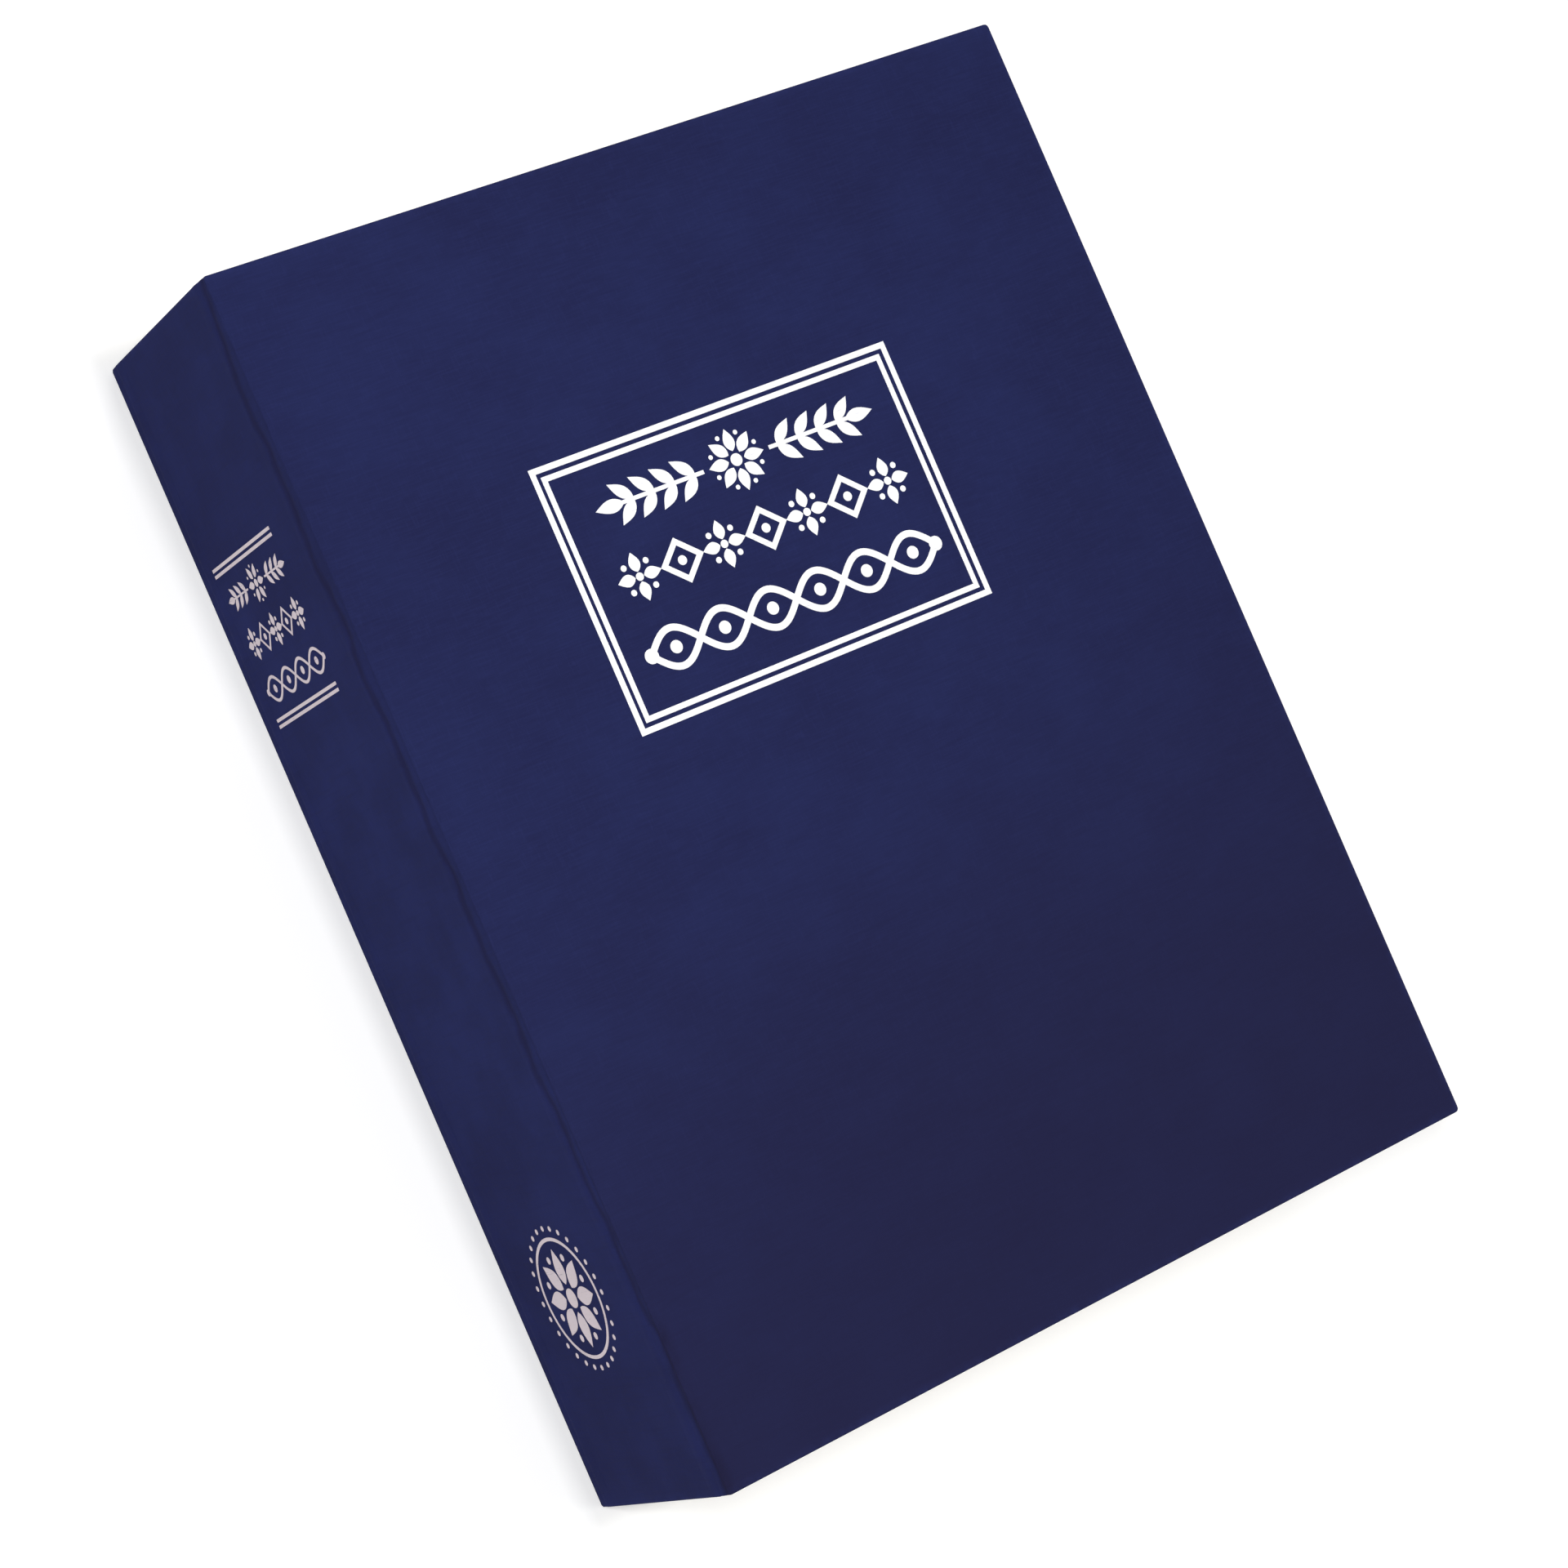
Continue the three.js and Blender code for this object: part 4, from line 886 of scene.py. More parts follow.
def leaves_tree() -> bpy.types.NodeTree:
    """Build the tree that stacks leaf edges against a wall.

    The incoming mesh is the wall's line seen from above, one point for each column, with the outward
    direction of each point in the attribute outward.

    Returns:
        The tree.
    """
    # The waves change slowly from column to column and quickly from leaf to leaf.
    column_change, leaf_change = 0.11, 0.73
    # A row that ends one leaf is counted as the first of the next.
    nudge = 0.001
    crown_power = 0.5
    least_bulge = 0.1
    counts = ("Columns", "Leaves", "Rows in a leaf")
    sizes = ("Bottom", "Top", "Bulge", "Scatter", "Waver", "Tuck", "Seed")
    kinds = dict.fromkeys(counts, Socket.INT) | dict.fromkeys(sizes, Socket.FLOAT)
    make = Growth(Tree.LEAVES, kinds)
    given = make.given
    rows = make.maths("ADD", make.maths("MULTIPLY", given["Leaves"], given["Rows in a leaf"]), 1.0)
    grid = make.add(
        "GeometryNodeMeshGrid",
        {"Size X": 1.0, "Size Y": 1.0, "Vertices X": given["Columns"], "Vertices Y": rows},
    )
    share = make.add("ShaderNodeSeparateXYZ", {0: grid.outputs["UV Map"]})
    last_column = make.maths("SUBTRACT", given["Columns"], 1.0)
    column = make.maths("ROUND", make.maths("MULTIPLY", share.outputs["X"], last_column))
    height = share.outputs["Y"]

    here = make.add("GeometryNodeInputPosition").outputs[0]
    outward = make.add("GeometryNodeInputNamedAttribute", {"Name": "outward"}, data_type="FLOAT_VECTOR")
    sampled = [
        make.add(
            "GeometryNodeSampleIndex",
            {"Geometry": given["Copy"], "Value": value, "Index": column},
            data_type="FLOAT_VECTOR",
        ).outputs[0]
        for value in (here, outward.outputs[0])
    ]

    leaf = make.maths("ADD", make.maths("MULTIPLY", height, given["Leaves"]), nudge)
    number = make.maths("FLOOR", leaf)
    within = make.maths("FRACT", leaf)
    nearest = make.maths("MINIMUM", within, make.maths("SUBTRACT", 1.0, within))
    crown = make.maths("MAXIMUM", make.maths("MULTIPLY", nearest, 2.0), 0.0)
    crown = make.maths("POWER", crown, crown_power)
    chance = make.add(
        "ShaderNodeTexWhiteNoise",
        {"W": make.maths("ADD", number, given["Seed"])},
        noise_dimensions="1D",
    ).outputs["Value"]
    along = make.maths("MULTIPLY", column, column_change)
    upward = make.maths("MULTIPLY", number, leaf_change)
    strand = make.add("ShaderNodeCombineXYZ", {"X": along, "Y": upward, "Z": given["Seed"]}).outputs[0]
    waving = make.add("ShaderNodeTexNoise", {"Vector": strand, "Scale": 1.0, "Detail": 1.0})
    wave = make.maths("SUBTRACT", waving.outputs["Fac"], 0.5)

    push = make.maths("MULTIPLY", crown, given["Bulge"])
    push = make.maths("ADD", push, make.maths("MULTIPLY", chance, given["Scatter"]))
    push = make.maths("ADD", push, make.maths("MULTIPLY", wave, given["Waver"]))
    push = make.maths("MAXIMUM", push, make.maths("MULTIPLY", given["Bulge"], least_bulge))
    from_end = make.maths("MINIMUM", height, make.maths("SUBTRACT", 1.0, height))
    is_end = make.maths("LESS_THAN", from_end, make.maths("DIVIDE", 0.5, rows))
    push = make.maths("SUBTRACT", push, make.maths("MULTIPLY", is_end, given["Tuck"]))

    reach = make.maths("SUBTRACT", given["Top"], given["Bottom"])
    level = make.maths("ADD", given["Bottom"], make.maths("MULTIPLY", height, reach))
    sway = make.maths("MULTIPLY", wave, given["Waver"])
    sway = make.maths("MULTIPLY", sway, make.maths("SUBTRACT", 1.0, is_end))
    level = make.maths("ADD", level, sway)
    scaled = make.add("ShaderNodeVectorMath", {0: sampled[1], "Scale": push}, operation="SCALE")
    outer = scaled.outputs[0]
    raised = make.add("ShaderNodeCombineXYZ", {"Z": level}).outputs[0]
    place = make.vector("ADD", make.vector("ADD", sampled[0], outer), raised)
    shaped = make.add("GeometryNodeSetPosition", {"Geometry": grid.outputs["Mesh"], "Position": place})
    return make.end(shaped.outputs[0])


TREES: dict[Tree, Callable[[], bpy.types.NodeTree]] = {
    Tree.ROW: row_tree,
    Tree.RING: ring_tree,
    Tree.COIL: coil_tree,
    Tree.LEAVES: leaves_tree,
}


def grown(
    copy: bpy.types.Object, kind: Tree, finish: Finish, sizes: dict[str, object]
) -> bpy.types.Object:
    """Run a node tree on a mesh and keep what it makes as a plain mesh.

    Args:
        copy: The mesh that goes in. It is used up.
        kind: The tree.
        finish: The finish that the result gets.
        sizes: A value for each of the tree's other inputs, by name.

    Returns:
        The result, under the name of what went in.
    """
    tree = bpy.data.node_groups.get(kind.value) or TREES[kind]()
    modifier = copy.modifiers.new(kind.value, "NODES")
    modifier.node_group = tree
    sockets = {
        item.name: item.identifier
        for item in tree.interface.items_tree
        if item.item_type == "SOCKET" and item.in_out == "INPUT"
    }
    for name, value in {**sizes, "Finish": finish.material}.items():
        modifier[sockets[name]] = value
    return plain(copy)


class FlatWork:
    """Closed flat shapes gathered in one mesh, drawn in millimetres on a plane that lies level.

    Attributes:
        levels: How many shapes in a row each stand on a level of their own.
        least_mitre: How sharp a corner is before its mitre is cut short.
    """

    levels: int = 12
    least_mitre: float = 0.35

    def __init__(self, thickness: float, first: int = 0, lift: float = 0.0025) -> None:
        """Start an empty sheet.

        Args:
            thickness: Thickness of every shape, half of it below the plane.
            first: How many shapes other sheets hold already.
            lift: How much higher each shape stands than the last, so that crossings stay clean.
        """
        self.edit = bmesh.new()
        self.thickness = thickness
        self.lift = lift
        self.count = first

    def _levels(self) -> tuple[float, float]:
        """Step to the next shape.

        Returns:
            Its lower and upper level.
        """
        self.count += 1
        half = self.thickness / 2.0
        return -half, half + self.lift * (self.count % self.levels)

    def shape(self, outline: Sequence[Flat]) -> None:
        """Add a filled outline.

        Args:
            outline: The corners in order.
        """
        low, high = self._levels()
        rings = [[self.edit.verts.new((x, y, z)) for x, y in outline] for z in (low, high)]
        self.edit.faces.new(rings[0][::-1])
        self.edit.faces.new(rings[1])
        for i in range(len(outline)):
            j = (i + 1) % len(outline)
            self.edit.faces.new((rings[0][i], rings[0][j], rings[1][j], rings[1][i]))

    def stroke(
        self, points: Sequence[Flat], width: float | Sequence[float], closed: bool = False
    ) -> None:
        """Add a line of even or changing width, with mitred corners.

        Args:
            points: The line's points.
            width: One width, or one for each point.
            closed: True where the line's end meets its start.
        """
        low, high = self._levels()
        count = len(points)
        widths = [width] * count if isinstance(width, (int, float)) else list(width)
        spots = [Vector(point) for point in points]
        rows = []
        for i, spot in enumerate(spots):
            before = spots[i - 1] if closed or i > 0 else spot * 2 - spots[i + 1]
            after = spots[(i + 1) % count] if closed or i < count - 1 else spot * 2 - spots[i - 1]
            arriving = (spot - before).normalized()
            leaving = (after - spot).normalized()
            run = (arriving + leaving).normalized()
            side = Vector((-run.y, run.x))
            mitre = max(self.least_mitre, side.dot(Vector((-arriving.y, arriving.x))))
            reach = side * (widths[i] / 2.0 / mitre)
            left, right = spot + reach, spot - reach
            section = ((left, low), (right, low), (right, high), (left, high))
            rows.append([self.edit.verts.new((end.x, end.y, z)) for end, z in section])
        spans = range(count) if closed else range(count - 1)
        for i in spans:
            here, there = rows[i], rows[(i + 1) % count]
            for k in range(4):
                m = (k + 1) % 4
                self.edit.faces.new((here[k], here[m], there[m], there[k]))
        if not closed:
            self.edit.faces.new(rows[0][::-1])
            self.edit.faces.new(rows[-1])

    def dot(self, centre: Flat, radius: float, steps: int = 24) -> None:
        """Add a round dot."""
        self.shape(circle(centre, radius, steps))

    def done(self, name: str, turn: Matrix | None = None) -> bpy.types.Object:
        """Finish the sheet in metres.

        Args:
            name: Name of the object.
            turn: Where the sheet goes, if it doesn't stay at the origin.

        Returns:
            The object.
        """
        bmesh.ops.scale(self.edit, vec=(MM, MM, MM), verts=self.edit.verts)
        bmesh.ops.recalc_face_normals(self.edit, faces=self.edit.faces)
        mesh = bpy.data.meshes.new(name)
        self.edit.to_mesh(mesh)
        self.edit.free()
        if turn:
            mesh.transform(turn)
        return keep_mesh(name, mesh)


def circle(centre: Flat, radius: float, steps: int) -> list[Flat]:
    """Return points evenly round a circle."""
    turns = [FULL_TURN * i / steps for i in range(steps)]
    return [(centre[0] + radius * math.cos(a), centre[1] + radius * math.sin(a)) for a in turns]


def rounded(
    half_x: float, half_y: float, radius: float, centre: Flat = (0.0, 0.0), steps: int = 8
) -> list[Flat]:
    """Return the outline of a rectangle with round corners.

    Args:
        half_x: Half its size along the first axis.
        half_y: Half its size along the second axis.
        radius: Corner radius.
        centre: Its middle.
        steps: Steps in each corner.

    Returns:
        The outline, in order.
    """
    outline = []
    for corner, (sx, sy) in enumerate(((1, 1), (-1, 1), (-1, -1), (1, -1))):
        for i in range(steps + 1):
            angle = (corner + i / steps) * math.pi / 2.0
            x = centre[0] + sx * (half_x - radius) + radius * math.cos(angle)
            y = centre[1] + sy * (half_y - radius) + radius * math.sin(angle)
            outline.append((x, y))
    return outline


def almond(
    length: float, width: float, start: float = 0.0, steps: int = 12, fullness: float = 0.8
) -> list[Flat]:
    """Return the outline of a pointed leaf that lies along the first axis.

    Args:
        length: Its length.
        width: Its width at the widest point.
        start: Where its stalk end stands.
        steps: Steps along each side.
        fullness: Under 1, the leaf is widest nearer to its stalk.

    Returns:
        The outline, in order.
    """
    shares = [i / steps for i in range(steps + 1)]
    lower = [(start + s * length, -width / 2.0 * math.sin(math.pi * s**fullness)) for s in shares]
    upper = [(x, -y) for x, y in reversed(lower[1:-1])]
    return lower + upper


def extruded(
    name: str, outlines: Sequence[Sequence[Flat]], low: float, high: float, bevel: float, steps: int = 2
) -> bpy.types.Object:
    """Make a plate from an outline and its holes, with its edges rounded.

    Args:
        name: Name of the object.
        outlines: The outer outline and then the holes, in millimetres.
        low: Lower face, in millimetres.
        high: Upper face, in millimetres.
        bevel: Radius of the rounded edges, in millimetres.
        steps: Steps across each rounded edge.

    Returns:
        The plate as a plain mesh, in metres, lying level.
    """
    curve = bpy.data.curves.new(name, "CURVE")
    curve.dimensions = "2D"
    curve.fill_mode = "BOTH"
    curve.extrude = (high - low) / 2.0 - bevel
    curve.bevel_depth = bevel
    curve.bevel_resolution = steps
    curve.offset = -bevel
    for outline in outlines:
        spline = curve.splines.new("POLY")
        spline.points.add(len(outline) - 1)
        spline.points.foreach_set("co", [value for x, y in outline for value in (x, y, 0.0, 1.0)])
        spline.use_cyclic_u = True
    made = bpy.data.objects.new(name, curve)
    bpy.context.scene.collection.objects.link(made)
    plate = plain(made)
    plate.data.transform(Matrix.Scale(MM, 4) @ Matrix.Translation((0.0, 0.0, (low + high) / 2.0)))
    tidy_mesh(plate.data)
    crisp_caps(plate.data)
    return plate


def lathed(name: str, profile: Sequence[Flat], steps: int = 32) -> bpy.types.Object:
    """Turn a profile round the Z axis.

    Args:
        name: Name of the object.
        profile: Radius and height of each point, in millimetres, from the axis and back to it.
        steps: Steps round the axis.

    Returns:
        The closed shape as a plain mesh, in metres.
    """
    edit = bmesh.new()
    rings = []
    for radius, height in profile:
        if radius == 0.0:
            rings.append([edit.verts.new((0.0, 0.0, height * MM))])
        else:
            ring = circle((0.0, 0.0), radius * MM, steps)
            rings.append([edit.verts.new((x, y, height * MM)) for x, y in ring])
    for lower, upper in zip(rings, rings[1:]):
        for i in range(steps):
            j = (i + 1) % steps
            below = [lower[i % len(lower)], lower[j % len(lower)]]
            above = [upper[j % len(upper)], upper[i % len(upper)]]
            unique = list(dict.fromkeys(below + above))
            if len(unique) > 2:
                edit.faces.new(unique)
    mesh = bpy.data.meshes.new(name)
    edit.to_mesh(mesh)
    edit.free()
    return keep_mesh(name, tidy_mesh(mesh))


@dataclass
class Ornament:
    """Rows of traditional ornament blocked in foil, drawn to fit a width and a height. Millimetres.

    Attributes:
        finish: The foil.
        thickness: Its thickness.
        line: Width of an even line.
        parts: The objects made so far.
        sheets: How many levels they take up.
        sheet_levels: How many levels one sheet takes up.
        stem_share: Width of a spray's stem, for a line 1 wide.
        lean: How far a spray's leaves lean out from its stem.
        loop_steps: Steps along a strand from crossing to crossing.
    """

    finish: Foil
    thickness: float
    line: float
    parts: list[bpy.types.Object] = field(default_factory=list)
    sheets: int = 0
    sheet_levels: int = 5
    stem_share: float = 0.6
    lean: float = math.radians(42.0)
    loop_steps: int = 20

    def _put(self, part: bpy.types.Object, centre: Flat) -> None:
        """Move a part to its place on the sheet and keep it."""
        part.data.transform(Matrix.Translation((centre[0] * MM, centre[1] * MM, 0.0)))
        self.parts.append(part)

    def _sheet(self) -> FlatWork:
        """Start an empty sheet for a few shapes, on a level of its own."""
        self.sheets += self.sheet_levels
        return FlatWork(self.thickness, self.sheets)

    def _ring(
        self, name: str, copy: FlatWork, centre: Flat, count: int, radius: float, first: float = 0.0
    ) -> None:
        """Set copies of a shape round a centre, each moved out by a radius, from a first angle on."""
        sizes = {"Count": count, "Radius": radius * MM, "First angle": first}
        self._put(grown(copy.done(name), Tree.RING, self.finish, sizes), centre)

    def _row(
        self, name: str, copy: FlatWork, centre: Flat, count: int, first: float, pitch: float
    ) -> None:
        """Set copies of a shape in a row along the first axis.

        Args:
            name: Name of the copies.
            copy: The sheet with the shape.
            centre: Where the row is measured from.
            count: How many copies there are.
            first: Place of the first.
            pitch: Distance from copy to copy.
        """
        sizes = {
            "Count": count,
            "First place": (first * MM, 0.0, 0.0),
            "Step": (pitch * MM, 0.0, 0.0),
        }
        self._put(grown(copy.done(name), Tree.ROW, self.finish, sizes), centre)

    def frame(self, centre: Flat, half_x: float, half_y: float, width: float) -> None:
        """Draw a rectangular frame.

        Args:
            centre: Its middle.
            half_x: Half its size along the first axis, to its outer edge.
            half_y: Half its size along the second axis, to its outer edge.
            width: Width of its line.
        """
        sheet = self._sheet()
        x, y = half_x - width / 2.0, half_y - width / 2.0
        sheet.stroke([(x, y), (-x, y), (-x, -y), (x, -y)], width, closed=True)
        self._put(sheet.done("frame"), centre)

    def rule(self, start: Flat, end: Flat, width: float) -> None:
        """Draw a straight rule.

        Args:
            start: Its one end.
            end: Its other end.
            width: Width of its line.
        """
        sheet = self._sheet()
        sheet.stroke([start, end], width)
        self._put(sheet.done("rule"), (0.0, 0.0))

    def rosette(self, centre: Flat, radius: float, petals: int = 8) -> None:
        """Draw a rosette: a ring of petals round a dot, with a bud between each two.

        Args:
            centre: Its middle.
            radius: Reach of the petals.
            petals: How many petals it has.
        """
        step = FULL_TURN / petals
        petal_length, petal_width, petal_start = radius * 0.72, radius * 0.38, radius * 0.28
        bud_ring, bud_radius, core_radius = radius * 0.86, radius * 0.075, radius * 0.2
        petal = self._sheet()
        petal.shape(almond(petal_length, petal_width, petal_start))
        self._ring("petals", petal, centre, petals, 0.0)
        bud = self._sheet()
        bud.dot((0.0, 0.0), bud_radius)
        self._ring("buds", bud, centre, petals, bud_ring, step / 2.0)
        core = self._sheet()
        core.dot((0.0, 0.0), core_radius)
        self._put(core.done("core"), centre)

    def ring_of_dots(self, centre: Flat, radius: float, dot: float, count: int) -> None:
        """Draw a ring of dots.

        Args:
            centre: Its middle.
            radius: Its radius.
            dot: Radius of a dot.
            count: How many dots it has.
        """
        pearl = self._sheet()
        pearl.dot((0.0, 0.0), dot, steps=16)
        self._ring("pearls", pearl, centre, count, radius)

    def loop(self, centre: Flat, radius: float, width: float) -> None:
        """Draw a circle.

        Args:
            centre: Its middle.
            radius: Radius of the middle of its line.
            width: Width of its line.
        """
        sheet = self._sheet()
        sheet.stroke(circle((0.0, 0.0), radius, steps=64), width, closed=True)
        self._put(sheet.done("loop"), centre)

    def spray(self, start: Flat, side: int, pairs: int, pitch: float, leaf: Flat) -> None:
        """Draw a straight spray: pairs of leaves along a stem, with one leaf at its tip.

        Args:
            start: Where the stem begins.
            side: 1 for a spray that points along the first axis, -1 for one that points back.
            pairs: How many pairs of leaves it has.
            pitch: Distance from pair to pair.
            leaf: Length and width of a leaf.
        """
        length, width = leaf
        stem_end = side * (pairs * pitch + 0.2 * length)
        stalk = 0.3 * self.line
        first_pair = side * 0.35 * pitch
        tip_start, tip_growth = (pairs - 0.1) * pitch, 1.1
        stem = self._sheet()
        stem.stroke([(0.0, 0.0), (stem_end, 0.0)], self.stem_share * self.line)
        self._put(stem.done("spray_stem"), start)
        pair = self._sheet()
        for hand in (-1, 1):
            turn = Matrix.Rotation(hand * self.lean, 2)
            outline = [turn @ Vector(point) for point in almond(length, width, stalk)]
            pair.shape([(side * point.x, point.y) for point in outline])
        self._row("spray_leaves", pair, start, pairs, first_pair, side * pitch)
        tip = self._sheet()
        tip_leaf = almond(length * tip_growth, width * tip_growth)
        tip.shape([(side * (x + tip_start), y) for x, y in tip_leaf])
        self._put(tip.done("spray_tip"), start)

    def flowers_and_lozenges(self, centre: Flat, length: float, height: float, flowers: int) -> None:
        """Draw a row of four-petalled flowers with a lozenge between each two.

        Args:
            centre: The row's middle.
            length: The row's length.
            height: Half its height.
            flowers: How many flowers it has.
        """
        pitch = (length - 2.0 * height) / (flowers - 1)
        petal_length, petal_width, petal_start = height * 0.82, height * 0.5, height * 0.2
        bud_place, bud_radius, core_radius = height * 0.52, height * 0.13, height * 0.17
        flower = self._sheet()
        for quarter in range(4):
            turn = Matrix.Rotation(quarter * FULL_TURN / 4.0, 2)
            outline = almond(petal_length, petal_width, petal_start)
            flower.shape([tuple(turn @ Vector(point)) for point in outline])
            bud = turn @ Vector((bud_place, bud_place))
            flower.dot((bud.x, bud.y), bud_radius, steps=16)
        flower.dot((0.0, 0.0), core_radius, steps=20)
        lozenge = self._sheet()
        across, upward = pitch / 2.0 - height * 1.02 - self.line * 0.55, height * 0.8
        corners = [(across, 0.0), (0.0, upward), (-across, 0.0), (0.0, -upward)]
        lozenge_line, lozenge_dot = self.line * 0.85, height * 0.2
        lozenge.stroke(corners, lozenge_line, closed=True)
        lozenge.dot((0.0, 0.0), lozenge_dot, steps=20)
        first = -(flowers - 1) * pitch / 2.0
        self._row("flowers", flower, centre, flowers, first, pitch)
        self._row("lozenges", lozenge, centre, flowers - 1, first + 0.5 * pitch, pitch)

    def guilloche(self, centre: Flat, length: float, height: float, loops: int) -> None:
        """Draw two strands that cross again and again, with a dot in each loop.

        Args:
            centre: Its middle.
            length: Its length.
            height: How far each strand swings from its middle.
            loops: How many loops there are.
        """
        pitch = length / loops
        end_dot, loop_dot = self.line * 1.1, min(height * 0.34, pitch * 0.16)
        sheet = self._sheet()
        steps = loops * self.loop_steps
        for side in (-1, 1):
            points = [
                ((i / steps - 0.5) * length, side * height * math.sin(math.pi * loops * i / steps))
                for i in range(steps + 1)
            ]
            sheet.stroke(points, self.line)
            sheet.dot((side * length / 2.0, 0.0), end_dot, steps=20)
        self._put(sheet.done("strands"), centre)
        dot = self._sheet()
        dot.dot((0.0, 0.0), loop_dot, steps=20)
        self._row("loop_dots", dot, centre, loops, -length / 2.0 + pitch / 2.0, pitch)

    def done(self, name: str, turn: Matrix) -> bpy.types.Object:
        """Put the whole print together on its surface.

        Args:
            name: Name of the piece.
            turn: Where the sheet goes.

        Returns:
            The print.
        """
        made = painted(gathered(name, self.parts), self.finish)
        made.data.transform(turn)
        return made


@dataclass(frozen=True)
class PrintPlan:
    """Places and sizes of a print's three rows of ornament. Millimetres.

    Attributes:
        line: Width of an even line.
        top: Middle of the upper row, a rosette between two sprays.
        rosette: Reach of its rosette.
        petals: How many petals that has.
        spray_start: Where the sprays begin, from the rosette's middle.
        pairs: How many pairs of leaves a spray has.
        pair_pitch: Distance from pair to pair.
        leaf: Length and width of a leaf.
        middle: Middle of the row of flowers and lozenges.
        flower_row: Its length and half its height.
        flowers: How many flowers it has.
        bottom: Middle of the twist of two strands.
        twist: Its length and how far its strands swing.
        loops: How many loops it has.
    """

    line: float = 1.5
    top: Flat = (-4.0, 60.6)
    rosette: float = 7.0
    petals: int = 8
    spray_start: float = 8.4
    pairs: int = 4
    pair_pitch: float = 5.2
    leaf: Flat = (6.4, 2.7)
    middle: Flat = (-4.0, 44.9)
    flower_row: Flat = (75.0, 5.3)
    flowers: int = 4
    bottom: Flat = (-4.0, 28.6)
    twist: Flat = (74.0, 4.2)
    loops: int = 6

    def draw(self, foil: Ornament) -> None:
        """Draw the three rows.

        Args:
            foil: The ornament that they become part of.
        """
        foil.rosette(self.top, self.rosette, self.petals)
        for side in (-1, 1):
            start = (self.top[0] + side * self.spray_start, self.top[1])
            foil.spray(start, side, self.pairs, self.pair_pitch, self.leaf)
        foil.flowers_and_lozenges(self.middle, *self.flower_row, self.flowers)
        foil.guilloche(self.bottom, *self.twist, self.loops)


COVER_PLAN = PrintPlan()
SPINE_PLAN = PrintPlan(
    line=0.7,
    top=(28.0, 75.6),
    rosette=4.4,
    petals=6,
    spray_start=5.4,
    pairs=3,
    pair_pitch=3.0,
    leaf=(3.6, 1.4),
    middle=(28.0, 65.2),
    flower_row=(35.0, 3.6),
    flowers=3,
    bottom=(28.0, 54.8),
    twist=(35.0, 2.6),
    loops=4,
)


